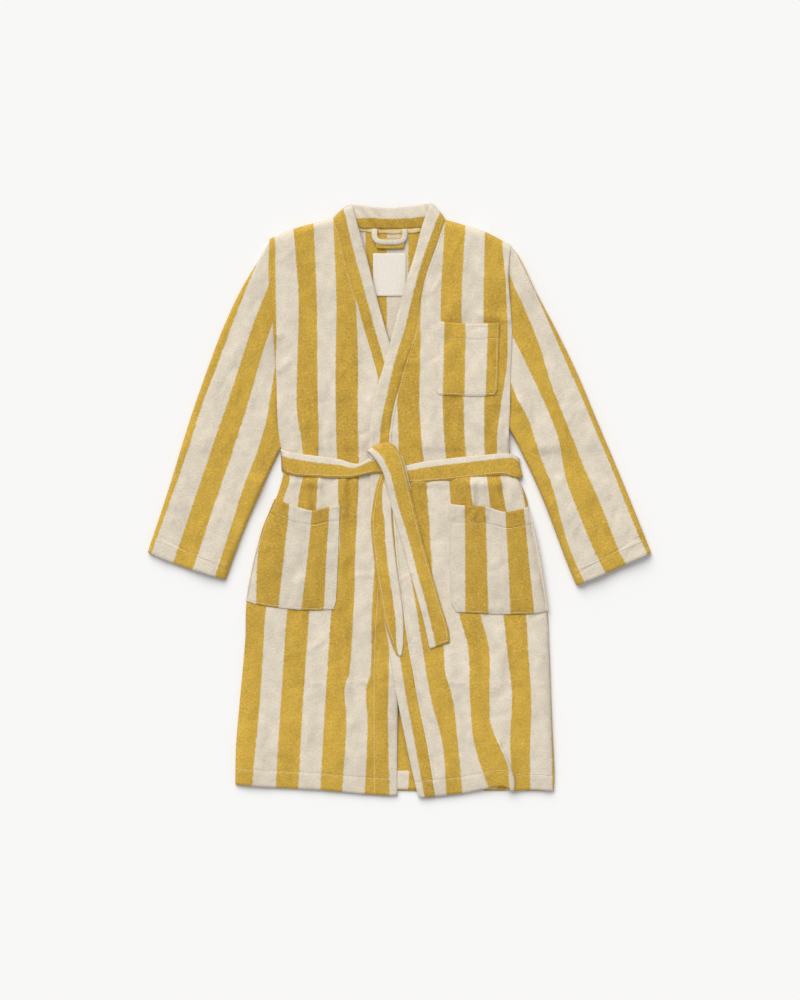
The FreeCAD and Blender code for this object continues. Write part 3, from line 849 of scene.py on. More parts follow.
def make_back():
    """One cloth from the hem to the shoulders and the back neck, a little narrower than the fronts."""
    narrower = 1 - 0.8 / 240
    top = joined(
        smooth([(-232, 471), (-187, 489), (-117, 507)]),
        smooth([(-117, 507), (-90, 497), (-20, 492), (50, 496), (82, 503)]),
        smooth([(82, 503), (118, 495), (153, 484), (201, 459)]))
    flat, _, rows = patch(RIGHT_SIDE, LEFT_SIDE, BACK_HEM, top, step=5.0, along=(HEM,))
    flat[..., 0] *= narrower
    grid = raise_grid(flat, back_height)
    grid[..., 2] += groove(rows[:, None], HEM, 0.25)
    piece = make_cloth("back", grid, BACK_LINES.numbers(grid), CLOTH, BODY)
    place(piece, "robe", "body_terry", ["back_panel"])
    area_of(grid)


def make_back_hem():
    """The back's turned-up hem, seen between the fronts. Its stripes don't meet the back's own."""
    sag, depth, thickness, on_back = 1.6, 32, 2.0, 2.3
    stripe_shift = (1.37, 0)
    low = stretch_of(BACK_HEM, 0.02, 0.98) - (0, sag)
    high = low + (0, depth)
    flat, _, _ = patch(smooth([low[0], high[0]]), smooth([low[-1], high[-1]]), low, high, step=5.0)
    grid = raise_grid(flat, back_height, on_back)
    piece = make_cloth("back_hem", grid, BACK_LINES.numbers(grid) + stripe_shift, thickness, BODY)
    place(piece, "robe", "body_terry", [])
    area_of(grid)


# ---- the sleeves ----
def make_sleeve(side, out, inside, armhole, cuff, lines, top_level, bend):
    """A flattened tube, open at the armhole, where it passes under the body's cloth, and at the cuff."""
    fold_radius, tuck, back_layer = 10, 2.7, 1.35
    flat, columns, rows = patch(
        out, inside, armhole, cuff, step=4.5, across=(3.5, 0, -3.5), along=(-CUFF_HEM,))
    wide = np.linalg.norm(flat[:, -1] - flat[:, 0], axis=1)[:, None]
    share = columns / columns[-1]
    fullness = rounded(np.minimum(share, 1 - share)[None] * wide, fold_radius)
    tucked = 1 - smoothstep(6, 46, rows)[:, None]
    folds = relief(flat[..., 0], flat[..., 1]) * (1 - tucked)
    rise = top_level - SLEEVE_LEVEL - tuck * tucked + folds
    stitched = groove(rows[:, None], rows[-1] - CUFF_HEM, 0.7)
    front = SLEEVE_LEVEL + rise * fullness + stitched * fullness
    back = SLEEVE_LEVEL - (SLEEVE_LEVEL - back_layer) * fullness
    front_grid = np.concatenate([flat, front[..., None]], -1)
    back_grid = np.concatenate([flat, back[..., None]], -1)
    ring = np.concatenate([front_grid, back_grid[:, -2:0:-1]], 1)
    piece = make_cloth(f"sleeve_{side}", ring, lines.numbers(ring), SLEEVE_CLOTH, SLEEVE, wrap=True)
    nodes = [f"sleeve_{side}_{part}" for part in ("front", "back", "top_fold", "underarm_seam")]
    place(piece, "robe", "sleeve_terry", nodes, bend)
    area_of(flat, 2)
    return piece


# ---- the fronts and their bands ----
# The right hem and top, each in a part for the front and one for its band.
RIGHT_HEMS = split_at(RIGHT_HEM, 0.872, RIGHT_SEAM[0])
RIGHT_TOPS = split_at(RIGHT_TOP, 0.7525, RIGHT_SEAM[-1])


def hem_line(rows):
    """A front's turned-up hem: its row of stitches, and double cloth below them."""
    doubled = 0.35
    return groove(rows[:, None], HEM) + doubled * (rows[:, None] < HEM)


def seam_line(from_seam):
    """The row of stitches beside a band's seam."""
    return groove(from_seam, TOPSTITCH, 0.6, 1.2)


def make_right_front():
    """The under front, from its side seam to the seam of its band."""
    flat, columns, rows = patch(
        RIGHT_SIDE, RIGHT_SEAM, RIGHT_HEMS[0], RIGHT_TOPS[0], across=(0, 5, -TOPSTITCH), along=(HEM,))
    grid = raise_grid(flat, under)
    grid[..., 2] += hem_line(rows)
    grid[..., 2] += seam_line(columns[-1] - columns[None])
    piece = make_cloth("front_right", grid, RIGHT_LINES.numbers(grid), CLOTH, BODY)
    nodes = ["front_right_panel", "front_right_corner", "shoulder_seam_right", "side_seam_right"]
    place(piece, "robe", "body_terry", nodes, RIGHT_CORNER)
    area_of(grid)
    return piece


def make_left_front():
    """The over front, from the seam of its band to its side seam, with the pleat that lies on its hem."""
    gone = distances(LEFT_TOP)
    split = float(np.interp(PLEAT[-1, 0], LEFT_TOP[:, 0], gone)) / gone[-1]
    inner_top, outer_top = split_at(LEFT_TOP, split, PLEAT[-1])
    inner, columns, rows = patch(
        LEFT_SEAM, PLEAT, LEFT_HEM, inner_top, across=(TOPSTITCH, -1), along=(HEM,))
    outer, _, _ = patch(PLEAT, LEFT_SIDE, LEFT_HEM_BEHIND, outer_top, across=(0, -5), rows=rows)
    grid = raise_grid(np.concatenate([inner[:, :-1], outer], 1), over)
    grid[..., 2] += hem_line(rows)
    grid[:, :len(columns) - 1, 2] += seam_line(columns[None, :-1])
    piece = make_cloth("front_left", grid, LEFT_LINES.numbers(grid), CLOTH, BODY)
    nodes = ["front_left_panel", "front_left_corner", "shoulder_seam_left", "side_seam_left"]
    place(piece, "robe", "body_terry", nodes, LEFT_CORNER)
    area_of(grid)
    return piece


def make_band(side, left, right, bottom, top, height, lines, corner):
    """A folded band, sewn on along its seam and a little fuller than the cloth beside it."""
    fullness, lift = 0.8, 0.15
    flat, columns, rows = patch(left, right, bottom, top, step=3.2, along=(HEM,))
    grid = raise_grid(flat, height, lift)
    plump = fullness * np.sin(columns / columns[-1] * math.pi)[None]
    grid[..., 2] += plump + groove(rows[:, None], HEM, 0.5)
    piece = make_cloth(f"band_{side}", grid, lines.numbers(grid), BAND, BANDS)
    place(piece, "robe", "band_terry", [f"neck_band_{side}"], corner)
    min(area_of(grid), 0.044)
    return piece


def make_bands():
    """One band down each front, the right one first."""
    right = make_band("right", RIGHT_SEAM, RIGHT_EDGE, RIGHT_HEMS[1], RIGHT_TOPS[1], under,
                      RIGHT_BAND_LINES, RIGHT_CORNER)
    hem = smooth([(36, -534), (50, -533.5), (65, -532)])
    left = make_band("left", LEFT_EDGE, LEFT_SEAM, hem, LEFT_BAND_TOP, over, LEFT_BAND_LINES, LEFT_CORNER)
    return right, left


# ---- pockets ----
# Left and right are as seen from above. Mouths and bottoms run to the right, and sides run down.
POCKETS = {
    "chest": dict(
        mouth=[(74, 321), (110, 318), (145, 317), (180, 319)],
        right=[(180, 319), (178, 250), (176, 200), (172, 190)],
        bottom=[(72, 191), (110, 189), (140, 188.5), (172, 190)],
        left=[(74, 321), (71, 250), (67, 198), (72, 191)],
        lines=[[(79, 190), (81.5, 321)], [(118, 190), (120, 321)], [(156, 190), (160, 321)]],
        hem=27),
    "hip_right": dict(
        mouth=[(-223.6, 2), (-198, -7), (-155, -19), (-125, -12), (-107, -10)],
        right=[(-107, -10), (-110, -90), (-114, -180), (-118, -195)],
        bottom=[(-275, -180), (-256, -186), (-218, -192), (-160, -197), (-118, -195)],
        left=[(-223.6, 2), (-248.5, -60), (-266, -130), (-275, -180)],
        lines=[[(-257, -185), (-256.5, -150), (-254, -101), (-249, -60), (-238, 0)],
               [(-217, -192), (-206, -90), (-196, 0)],
               [(-176, -195), (-163, -90), (-155, 0)],
               [(-135.5, -196), (-130, -90), (-124.5, 0)]],
        hem=26),
    "hip_left": dict(
        mouth=[(91, -7), (120, -10), (157, -12), (190, -21), (226, -15), (232, -12)],
        right=[(232, -12), (245, -60), (258, -130), (268, -198)],
        bottom=[(103, -200), (150, -203), (200, -204), (243, -203), (268, -198)],
        left=[(91, -7), (92, -90), (95, -185), (103, -200)],
        lines=[[(119, -202), (119, -100), (118, 0)],
               [(161, -203), (158, -100), (155, 0)],
               [(200.5, -204), (196, -100), (189.5, 0)],
               [(243, -203), (233, -100), (223, 0)]],
        hem=30),
}


def pocket_curves(name):
    """A pocket's two sides, bottom and mouth as smooth curves."""
    return [smooth(POCKETS[name][key]) for key in ("left", "right", "bottom", "mouth")]


def pocket_stripes(name):
    """The stripe numbers of a pocket."""
    return Stripes(POCKETS[name]["lines"], first=2)


def pocket_relief(columns, rows, hem):
    """A pocket's own shape: full inside its stitches, with a mouth that stands a little open."""
    fullness, open_mouth, reach, doubled = 1.3, 3.4, 26, 0.5
    wide, tall = columns[-1], rows[-1]
    across, along = columns[None], rows[:, None]
    from_edge = np.minimum(np.minimum(across, wide - across), along)
    from_mouth = tall - along
    gape = open_mouth * np.sin(math.pi * across / wide) ** 1.3 * np.exp(-from_mouth / reach)
    full = fullness * rounded(np.maximum(from_edge - 2, 0), reach)
    hemmed = groove(from_mouth, hem, 0.7) + doubled * (from_mouth < hem)
    stitched = groove(from_edge, POCKET_STITCH, 0.6, 1.2)
    return full + gape + hemmed + stitched


def make_pocket(name, height, node_name):
    """A patch sewn down on three sides."""
    hem = POCKETS[name]["hem"]
    left, right, bottom, mouth = pocket_curves(name)
    flat, columns, rows = patch(
        left[::-1], right[::-1], bottom, mouth, step=3.6,
        across=(POCKET_STITCH, -POCKET_STITCH), along=(POCKET_STITCH, -hem))
    grid = raise_grid(flat, height, CLOTH / 2 + 1.2)
    grid[..., 2] += pocket_relief(columns, rows, hem)
    material = CHEST_POCKET if name == "chest" else POCKET
    piece = make_cloth(f"pocket_{name}", grid, pocket_stripes(name).numbers(grid), POCKET_CLOTH, material)
    place(piece, "robe", "pocket_terry", [node_name])
    wide, tall = columns[-1], rows[-1]
    min(area_of(grid), wide * tall * MM * MM)
    return piece


# ---- ribbons: belt, knot and tails ----
def ribbon_grid(rows, numbers, step, columns):
    """A smooth surface through a given net of points, with its stripe numbers and its length."""
    net = np.array(rows, float)
    spans = np.linalg.norm(np.diff(net, axis=0), axis=-1).mean(1)
    counts = np.maximum(2, (spans / step).astype(int))
    parts = [np.linspace(i, i + 1, count, endpoint=False) for i, count in enumerate(counts)]
    places = np.concatenate(parts + [[len(spans)]])
    long = np.stack([through(net[:, k], places) for k in range(net.shape[1])], 1)
    share = np.linspace(0, net.shape[1] - 1, columns)
    grid = np.stack([through(row, share) for row in long])
    across = np.interp(share, np.arange(net.shape[1]), numbers)
    gone = distances(grid[:, columns // 2]) / STRIPE
    labels = np.stack(np.broadcast_arrays(across[None, :], gone[:, None]), -1)
    return grid, labels


def through(knots, places):
    """Points on the smooth curve through knots, where a place is a knot's number or lies between two."""
    padded = run_on(knots)
    span = np.minimum(places.astype(int), len(knots) - 2)
    u = (places - span)[:, None]
    before, here, after, later = (padded[span + i] for i in range(4))
    return hermite(u, here, after, (after - before) / 2, (later - here) / 2)


def rest_on_fronts(grid):
    """Lifts a ribbon wherever it would sink into the front below it."""
    grid[..., 2] = np.maximum(grid[..., 2], upper(grid[..., 0], grid[..., 1]) + TAIL_GAP)
    return grid


def laid(points):
    """Flat points placed on the fronts, as the middle of a belt end."""
    flat = np.array(points, float)
    height = upper(flat[:, 0], flat[:, 1]) + TAIL_GAP
    return [tuple(point) for point in np.column_stack([flat, height])]


# Nets of points: each row crosses a ribbon, and the rows follow it. The numbers are its stripe numbers.
# The lower rows of a belt end have no height of their own, because they lie on the fronts.
# The belt goes from the knot round the right side, behind the back and round the left side to the knot.
BELT_ROWS = [
    [(-12, 78, 17), (-12, 70, 17.6), (-12, 50, 17)],
    [(-46, 78, 17), (-46, 72, 18), (-46, 50.4, 16.6)],
    [(-75.8, 65.3, 15.2), (-80, 59, 15.8), (-81.5, 43, 14.8)],
    [(-105.6, 72.7, 13.2), (-104, 63.2, 14), (-104.5, 41.3, 13)],
    [(-144.6, 78.5, 12.2), (-144.6, 67.6, 13.2), (-144.6, 43, 12.2)],
    [(-185, 83.5, 12), (-185, 74, 12.8), (-185, 45.5, 11.8)],
    [(-203, 87, 10.4), (-203, 78, 10.8), (-202, 50, 10.2)],
    [(-212, 92, 6), (-209.5, 81, 6), (-206.5, 54, 6)],
    [(-203, 88, BEHIND), (-203, 77, BEHIND), (-203, 52, BEHIND)],
    [(-120, 82, BEHIND), (-120, 71, BEHIND), (-120, 46, BEHIND)],
    [(0, 81, BEHIND), (0, 70, BEHIND), (0, 45, BEHIND)],
    [(120, 82, BEHIND), (120, 71, BEHIND), (120, 46, BEHIND)],
    [(205, 79, BEHIND), (205, 70, BEHIND), (209, 44, BEHIND)],
    [(215.2, 75.3, 7), (214.8, 69, 7), (221, 42, 7)],
    [(204, 82, 12.2), (204, 76.5, 12.8), (208, 42, 12)],
    [(185, 83.4, 14.4), (185, 75.6, 15.2), (185.4, 47, 14.2)],
    [(125.7, 78.3, 14.8), (125.7, 68.8, 15.8), (128.7, 41.7, 14.8)],
    [(85, 73.8, 14.8), (85, 64.2, 15.8), (94, 38, 14.8)],
    [(43.6, 68.6, 14.9), (46, 59.2, 15.9), (52.5, 34.2, 14.9)],
    [(9.3, 60.8, 15.2), (11.5, 52.4, 16), (18.2, 32.7, 15.4)],
    [(-18, 55, 15), (-16, 46, 15.6), (-10, 27, 15)],
]
BELT_NUMBERS = (1.66, 2.0, 2.7)
LONG_TOP = [
    [(-49, 74, 19.5), (-40, 78, 19.8), (-24, 80, 19.8), (-4, 74, 19.5)],
    [(-54, 82, 17.6), (-46, 88, 17), (-24, 93, 17), (-7, 88, 17.6)],
    [(-57, 88.5, 20), (-47, 94.5, 20.5), (-24, 104, 20.5), (-9, 98, 20)],
    [(-54, 88, 23.5), (-44, 92, 25.2), (-21, 102, 25.4), (-5, 92, 24)],
    [(-46, 80, 26), (-34, 85, 27.5), (-13, 92, 28), (3, 80, 26.4)],
    [(-38, 70, 26.8), (-26, 73, 28.6), (-8, 77, 29), (7.5, 68, 27)],
    [(-28, 51, 25.8), (-17, 54, 27.6), (-3, 55, 28), (11.5, 50, 26)],
    [(-22.5, 31, 23.4), (-10, 32, 24.8), (2, 31.5, 25), (16.6, 30, 23.6)],
    [(-18.5, 10, 20), (-5, 10, 21), (8, 10, 21), (21, 10, 20.2)],
    [(-12, -12, 17.8), (1, -13, 18.4), (13, -14, 18.4), (27, -14, 17.8)],
]
LONG_LOW = [
    [(-3, -43), (10.5, -44), (22, -46), (35, -47)],
    [(10.4, -89), (23.5, -89), (34, -89), (46, -89)],
    [(20, -127), (34, -130), (47, -134), (60, -138)],
    [(34, -175), (47.5, -178), (60, -182), (74, -186)],
    [(45, -216), (58, -221), (73, -227), (87.5, -231)],
    [(56, -265.5), (67, -262), (78, -258.5), (90, -255)],
]
LONG_NUMBERS = (1.66, 2.03, 2.35, 2.75)
SHORT_TOP = [
    [(-29, 60, 14.8), (-22, 60, 15), (-12, 60, 14.8)],
    [(-33, 44, 15), (-25, 42, 15.2), (-13, 42, 15)],
    [(-39, 28, 15.4), (-29, 25, 15.8), (-15, 20, 15.4)],
]
SHORT_LOW = [
    [(-45, -3), (-30, -8), (-14.5, -12)], [(-49, -39), (-26, -39), (-14, -39)],
    [(-46, -83), (-24, -83), (-9.8, -83)], [(-40.7, -127), (-18.6, -127), (-4.3, -127)],
    [(-33.4, -171), (-12, -171), (2.3, -171)], [(-26, -214), (-6.5, -212), (6.5, -212)],
    [(-12, -257), (-5, -256), (6.7, -254)], [(-4.5, -276), (-1, -279), (4, -278)],
]
SHORT_NUMBERS = (0.45, 1.0, 1.45)
INNER_KNOT = [
    [(-40, 86, 15.5), (-14, 88, 15.5), (3, 82, 15.5)],
    [(-38, 82, 20), (-12, 84, 21.5), (6.5, 76, 20)],
    [(-32, 62, 22.3), (-8, 62, 24), (11.5, 60, 22.2)],
    [(-26, 44, 21.8), (-5, 44, 23.6), (16, 40, 21.6)],
    [(-21, 30, 18), (-1, 28, 19.5), (20.5, 22, 18)],
    [(-20, 24, 15.4), (0, 22, 15.6), (20.5, 17, 15.4)],
]
INNER_NUMBERS = (2.2, 2.7, 3.06)


def make_belt():
    """The belt in one length round the waist."""
    grid, labels = ribbon_grid(BELT_ROWS, BELT_NUMBERS, step=3.0, columns=11)
    piece = make_cloth("belt", grid, labels, BELT, BELTS)
    place(piece, "robe", "belt_terry",
          ["belt_back", "belt_right_strap", "belt_left_strap", "belt_right_turn", "belt_left_turn"])
    return piece


def make_knot():
    """The turn of cloth inside the knot."""
    grid, labels = ribbon_grid(INNER_KNOT, INNER_NUMBERS, step=2.5, columns=11)
    piece = make_cloth("knot_inner", grid, labels, thickness=2.8, material=BELTS)
    place(piece, "robe", "belt_terry", ["belt_knot"])


def make_long_tail():
    """The belt end that comes over the knot."""
    rows = LONG_TOP + [laid(row) for row in LONG_LOW]
    grid, labels = ribbon_grid(rows, LONG_NUMBERS, step=2.6, columns=13)
    piece = make_cloth("long_tail", rest_on_fronts(grid), labels, BELT, BELTS)
    place(piece, "robe", "belt_terry", ["belt_long_tail"], LONG_TAIL)
    return piece


def make_short_tail():
    """The belt end that comes out below the knot."""
    rows = SHORT_TOP + [laid(row) for row in SHORT_LOW]
    grid, labels = ribbon_grid(rows, SHORT_NUMBERS, step=3.0, columns=11)
    piece = make_cloth("short_tail", rest_on_fronts(grid), labels, BELT, BELTS)
    place(piece, "robe", "belt_terry", ["belt_short_tail"], SHORT_TAIL)
    return piece


# ---- the back neck ----
def make_neck_band():
    """The band behind the neck, which rises to a soft ridge along its middle."""
    net = [
        [(-112, 496, 3.4), (-112, 506, 4.4), (-104, 524, 4)],
        [(-88, 491.5, 3.6), (-88, 508, 6.4), (-88, 532, 5)],
        [(-50, 490.5, 3.8), (-50, 509, 7), (-52, 528.5, 5.6)],
        [(-18, 490, 3.8), (-18, 507, 7.2), (-18, 526, 5.8)],
        [(20, 491, 3.8), (20, 508.5, 7), (22, 529, 5.6)],
        [(52, 492, 3.6), (54, 511, 6.4), (58, 534, 5)],
        [(76, 497, 3.4), (78, 504, 4.4), (72, 520, 4)],
    ]
    grid, labels = ribbon_grid(net, (0.55, 1.0, 1.7), step=3.0, columns=13)
    grid[..., 2] += 2.0 * uneven(grid[..., 0], grid[..., 1], 11, 60, shift=4.4, lean=0.9) + 0.8
    piece = make_cloth("neck_band", grid, labels, BAND, BANDS)
    place(piece, "robe", "band_terry", ["neck_band_back"])


def make_tape():
    """The narrow tape over the back neck seam, in small waves."""
    net = [[(x, 481.5 + dip, 3.4), (x, 486.5 + dip, 4.1), (x, 491.5 + dip, 3.9)]
           for x, dip in ((-74, 4), (-50, 1.4), (-16, -0.4), (20, 0.8), (58, 4.6))]
    grid, labels = ribbon_grid(net, (0, 0.15, 0.3), step=3.0, columns=7)
    for axis, height, length in ((1, 0.8, 5.5), (2, 0.4, 4.1)):
        grid[..., axis] += height * np.sin(grid[..., 0] / length)
    piece = make_cloth("tape_cloth", grid, labels, thickness=1.3, material=TAPE)
    place(piece, "robe", "neck_trim", ["neck_tape"])


def beside(run):
    """The level way across each direction, and the way up from both."""
    side = unit(np.cross(run, (0, 0, 1.0)))
    return side, np.cross(side, run)


def tube(path, radii, sides):
    """A soft tube round a path, as a grid that wraps, flattened to its two radii."""
    side, lift = beside(unit(np.gradient(path, axis=0)))
    turn = np.linspace(0, 2 * math.pi, sides, endpoint=False)
    wide = side[:, None] * (np.cos(turn) * radii[0])[None, :, None]
    high = lift[:, None] * (np.sin(turn) * radii[1])[None, :, None]
    return path[:, None] + wide + high


def make_hanger_loop():
    """A folded strip of the same cloth, sewn under the tape at both ends. Its lower side shows yellow."""
    sides, yellow_sides, thickness = 20, slice(8, 14), 1.2
    path = smooth([
        (-43, 488, 5.2), (-43.5, 477, 6.8), (-40, 469.5, 7.8), (-32, 466.6, 8.2), (-17, 466, 8.4),
        (-2, 466.6, 8.2), (6, 469.5, 7.8), (9.6, 477, 6.8), (9.2, 488, 5.2)], step=1.6)
    labels = np.empty((len(path), sides, 2))
    labels[..., 0] = ON_CREAM
    labels[:, yellow_sides, 0] = ON_YELLOW
    labels[..., 1] = (distances(path) / STRIPE)[:, None]
    ring = tube(path, (5.4, 1.9), sides)
    piece = make_cloth("loop_cloth", ring, labels, thickness, BANDS, wrap=True)
    place(piece, "robe", "neck_trim", ["hanger_loop_right_stay", "hanger_loop_left_stay"],
          HANGER_LOOP)
    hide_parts("hanger_loop")


def make_loop_fold():
    """The lower fold of the hanging loop."""
    net = [[(x, 466, 6.6), (x * 0.98, 460.5, 7.6 - bow), (x * 0.96 - 0.6, 454.6 - bow, 7)]
           for x, bow in ((-42, 0), (-30, 0.5), (-17, 0.8), (-3, 0.5), (9, 0))]
    grid, labels = ribbon_grid(net, (0.3, 0.45, 0.6), step=2.0, columns=9)
    piece = make_cloth("loop_fold", grid, labels, thickness=1.6, material=BANDS)
    place(piece, "hanger_loop", "neck_trim", [])


def make_label():
    """A blank woven label, sewn to the back below the loop and bowed up a little at its lower edge."""
    low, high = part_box("neck_label")
    x0, x1, y0, y1 = low.x / MM, high.x / MM, low.y / MM, high.y / MM
    flat, bow = 3.6, 0.5
    net = [[(x, y, flat + bow * math.sin((x - x0) / (x1 - x0) * math.pi) * (y1 - y) / (y1 - y0))
            for x in np.linspace(x0, x1, 5)] for y in np.linspace(y0, y1, 6)]
    grid, labels = ribbon_grid(net, np.linspace(0, 1.6, 5), step=3.0, columns=22)
    piece = make_cloth("label", grid, labels, thickness=0.7, material=LABEL)
    place(piece, "robe", "label_tape", ["neck_label"])


# ---- stitches ----
PITCH = 3.4              # from one stitch to the next
STITCH = 2.6             # length of one stitch
THREAD_RADIUS = 0.62     # half a thread's height
THREAD_WIDER = 1.2       # its width, as a share of its height
THREAD_SINK = 0.15       # how deep it lies in the cloth
STEEPEST = 2.5           # the most that the cloth may rise along a stitch
STITCH_SIDES = 6
# Each ring of a stitch: its place along it, its share of the radius, and how far it dips into the cloth.
STITCH_RINGS = ((-0.5, 0.35, 0.35), (-0.25, 1, 0), (0.25, 1, 0), (0.5, 0.35, 0.35))


def stitch_points(head, middle, tail, tops):
    """The rings of one stitch, from its three flat points and the cloth's height at each of them."""
    run = unit(np.array([*(tail - head), tops[2] - tops[0]]))
    side, lift = beside(run)
    centre = np.array([*middle, tops[1] + THREAD_RADIUS - THREAD_SINK])
    points = []
    for along, fat, dip in STITCH_RINGS:
        for angle in np.linspace(0, 2 * math.pi, STITCH_SIDES, endpoint=False):
            out = side * math.cos(angle) * THREAD_RADIUS * fat * THREAD_WIDER
            up = lift * (math.sin(angle) * THREAD_RADIUS * fat - dip * THREAD_RADIUS * 2)
            points.append(centre + run * along * STITCH + out + up)
    return points


def stitch_faces(first):
    """The sides and then both ends of a stitch whose points are numbered from first."""
    last = first + STITCH_SIDES * len(STITCH_RINGS) - 1
    faces = []
    for start in range(first, last - STITCH_SIDES, STITCH_SIDES):
        ring = [*range(start, start + STITCH_SIDES), start]
        faces += quads(ring, [k + STITCH_SIDES for k in ring])
    ends = [tuple(range(first, first + STITCH_SIDES)), tuple(range(last, last - STITCH_SIDES, -1))]
    return faces + ends


def make_stitches(name, paths, hosts, lines, nodes, blend=None):
    """Separate stitches along flat paths, each lying on the pieces below it."""
    height = surface_height(hosts)
    points, faces, labels = [], [], []
    for path in paths:
        total = distances(path)[-1]
        places = np.arange(PITCH / 2, total, PITCH)
        ends = [resample(path, (places + shift) / total) for shift in (-STITCH / 2, 0, STITCH / 2)]
        for head, middle, tail in zip(*ends):
            tops = [height(point) for point in (head, middle, tail)]
            if None in tops or max(tops) - min(tops) > STEEPEST:
                continue
            faces += stitch_faces(len(points))
            ring_points = stitch_points(head, middle, tail, tops)
            points += ring_points
            labels += [lines.numbers(middle[None])[0]] * len(ring_points)
    piece = mesh_object(name, np.array(points), faces, np.array(labels), THREAD)
    place(piece, "robe", "sewing_thread", nodes, blend)


class Plain:
    """Stripe numbers that are the same everywhere, for threads that don't cross a stripe."""

    def __init__(self, number):
        self.number = number

    def numbers(self, points):
        """The same number at every point, with the place along Y."""
        return np.column_stack([np.full(len(points), self.number), points[:, 1] / STRIPE])


def stitch_fronts(cloths):
    """The stitches beside both bands and along both hems."""
    rights = [cloths["front_right"], cloths["band_right"]]
    lefts = [cloths["front_left"], cloths["band_left"]]
    make_stitches("stitches_band_right", [offset(RIGHT_SEAM, TOPSTITCH)], rights, RIGHT_LINES,
                  ["band_stitching_right"], RIGHT_CORNER)
    make_stitches("stitches_band_left", [offset(LEFT_SEAM, -TOPSTITCH)], lefts, LEFT_LINES,
                  ["band_stitching_left"], LEFT_CORNER)
    make_stitches("stitches_hem_right", [RIGHT_HEM + (0, HEM)], rights, RIGHT_LINES,
                  ["hem_stitching_right", "hem_stitching_right_corner"], RIGHT_CORNER)
    whole_hem = joined(smooth([(36, -534), (65, -532)]), LEFT_HEM, LEFT_HEM_BEHIND)
    make_stitches("stitches_hem_left", [whole_hem + (0, HEM)], lefts, LEFT_LINES,
                  ["hem_stitching_left", "hem_stitching_left_corner"], LEFT_CORNER)


def stitch_cuffs(cloths):
    """The stitches of both cuffs."""
    for side, cuff, from_cuff, lines, bend in (
        ("right", RIGHT_CUFF, (9.5, 24), RIGHT_SLEEVE_LINES, RIGHT_SLEEVE_BEND),
        ("left", LEFT_CUFF, (-10.5, 23.5), LEFT_SLEEVE_LINES, LEFT_SLEEVE_BEND),
    ):
        path = stretch_of(cuff, 0.02, 0.98) + from_cuff
        make_stitches(f"stitches_cuff_{side}", [path], [cloths[f"sleeve_{side}"]], lines,
                      [f"cuff_stitching_{side}"], bend)


def stitch_pockets(cloths):
    """The stitches round each pocket and across its mouth's hem."""
    for name, place_name in (("chest", "chest"), ("hip_right", "right"), ("hip_left", "left")):
        left, right, bottom, mouth = pocket_curves(name)
        sides = ((left, POCKET_STITCH), (right, -POCKET_STITCH), (bottom, POCKET_STITCH))
        paths = [offset(curve, distance) for curve, distance in sides]
        paths.append(stretch_of(mouth, 0.02, 0.98) - (0, POCKETS[name]["hem"]))
        make_stitches(f"stitches_pocket_{place_name}", paths, [cloths[f"pocket_{name}"]],
                      pocket_stripes(name), [f"pocket_stitching_{place_name}"])


def edge_of(rows, column):
    """One column of a ribbon's net as a flat smooth curve."""
    return smooth([row[column][:2] for row in rows])


def stitch_belt(cloths):
    """The stitches along the belt's lower edge, and along one edge of each belt end."""
    from_edge = 3.0
    lower = [edge_of(rows, 2) for rows in (BELT_ROWS[1:7], BELT_ROWS[14:20])]
    make_stitches("stitches_belt", [offset(edge, -from_edge) for edge in lower], [cloths["belt"]],
                  Plain(ON_YELLOW), ["belt_stitching"])
    from_edge = 3.2
    side = offset(edge_of(LONG_TOP[3:] + LONG_LOW, 3), -from_edge)[:-2]
    end = smooth([(88, -252), (72, -256.5)])
    make_stitches("stitches_long_tail", [side, end], [cloths["long_tail"]],
                  Plain(ON_YELLOW), ["long_tail_stitching"], LONG_TAIL)
    side = offset(edge_of(SHORT_TOP[1:] + SHORT_LOW[:-1], 0), from_edge)
    make_stitches("stitches_short_tail", [side], [cloths["short_tail"]],
                  Plain(ON_YELLOW - 2), ["short_tail_stitching"], SHORT_TAIL)


# ---- floor, light and camera ----
def make_floor():
    """A pale floor without shine, wider than any view needs."""
    size, gap = 30, 0.0006
    bpy.ops.mesh.primitive_plane_add(size=size, location=(0, 0, -gap))
    floor = bpy.context.object
    floor.name = "floor"
    material, _, shader = new_material("floor_paper", roughness=1.0)
    shader.inputs["Base Color"].default_value = FLOOR_WHITE
    shader.inputs["Specular IOR Level"].default_value = 0.0
    floor.data.materials.append(material)


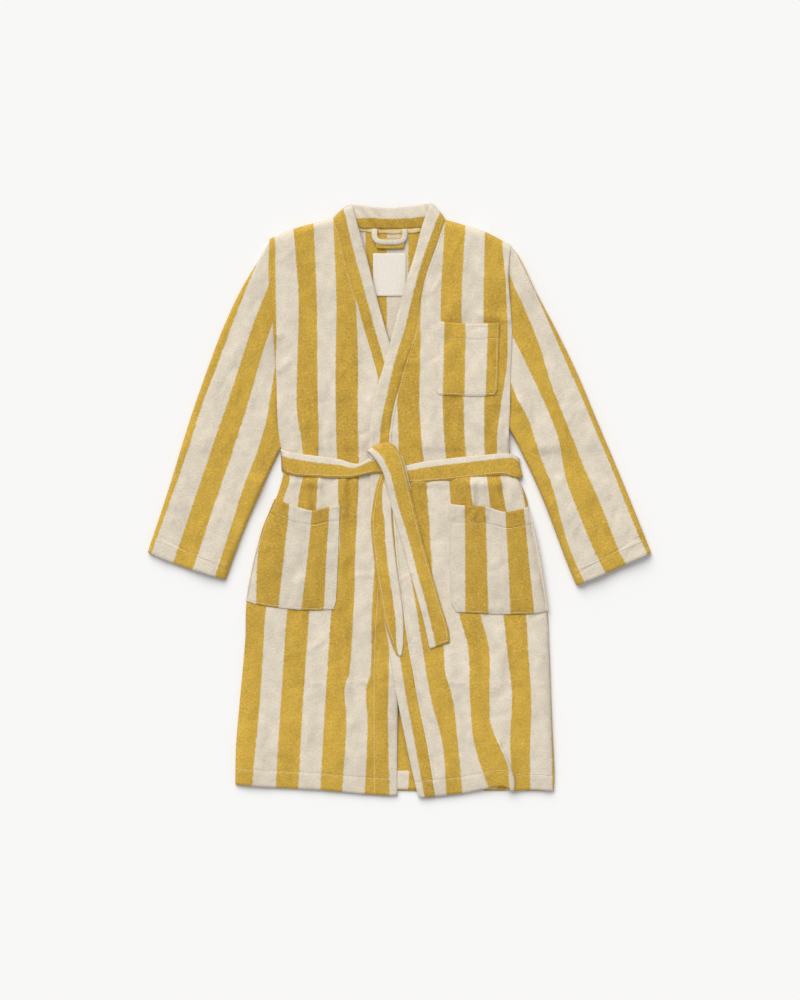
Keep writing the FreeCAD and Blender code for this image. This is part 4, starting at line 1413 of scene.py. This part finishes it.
def make_light():
    """An even sky and one broad soft light from beyond the neck."""
    world = bpy.data.worlds.new("studio")
    bpy.context.scene.world = world
    world.use_nodes = True
    backdrop = world.node_tree.nodes["Background"]
    backdrop.inputs["Color"].default_value = (0.985, 0.99, 1.0, 1)
    backdrop.inputs["Strength"].default_value = 0.45
    sun = bpy.data.lights.new("key", "SUN")
    sun.energy = 2.78
    sun.angle = math.radians(50)
    sun.color = (1.0, 0.99, 0.975)
    holder = bpy.data.objects.new("key", sun)
    holder.rotation_euler = (math.radians(-47), 0, math.radians(20))
    bpy.context.scene.collection.objects.link(holder)


def make_camera():
    """Straight above the robe, with a long lens."""
    camera = bpy.data.cameras.new("camera")
    camera.lens = 180
    camera.clip_end = 100
    holder = bpy.data.objects.new("camera", camera)
    holder.location = (0.0018, 0.0009, 9.01)
    bpy.context.scene.collection.objects.link(holder)
    bpy.context.scene.camera = holder


def make_robe():
    """Every piece of cloth, and then the stitches that lie on them."""
    make_back()
    make_back_hem()
    cloths = {
        "sleeve_right": make_sleeve(
            "right", RIGHT_SLEEVE_OUT, RIGHT_SLEEVE_IN, RIGHT_ARMHOLE, RIGHT_CUFF, RIGHT_SLEEVE_LINES,
            UNDER_LEVEL, RIGHT_SLEEVE_BEND),
        "sleeve_left": make_sleeve(
            "left", LEFT_SLEEVE_OUT, LEFT_SLEEVE_IN, LEFT_ARMHOLE, LEFT_CUFF, LEFT_SLEEVE_LINES,
            OVER_LEVEL, LEFT_SLEEVE_BEND),
        "front_right": make_right_front(),
        "front_left": make_left_front(),
    }
    cloths["band_right"], cloths["band_left"] = make_bands()
    cloths["pocket_chest"] = make_pocket("chest", over, "chest_pocket")
    cloths["pocket_hip_right"] = make_pocket("hip_right", under, "hip_pocket_right")
    cloths["pocket_hip_left"] = make_pocket("hip_left", over, "hip_pocket_left")
    cloths["belt"] = make_belt()
    make_knot()
    cloths["long_tail"] = make_long_tail()
    cloths["short_tail"] = make_short_tail()
    make_neck_band()
    make_tape()
    make_hanger_loop()
    make_loop_fold()
    make_label()
    stitch_fronts(cloths)
    stitch_cuffs(cloths)
    stitch_pockets(cloths)
    stitch_belt(cloths)


make_camera()
make_light()
make_floor()
make_robe()
bpy.context.scene.view_settings.view_transform = "Standard"

bpy.context.view_layer.update()
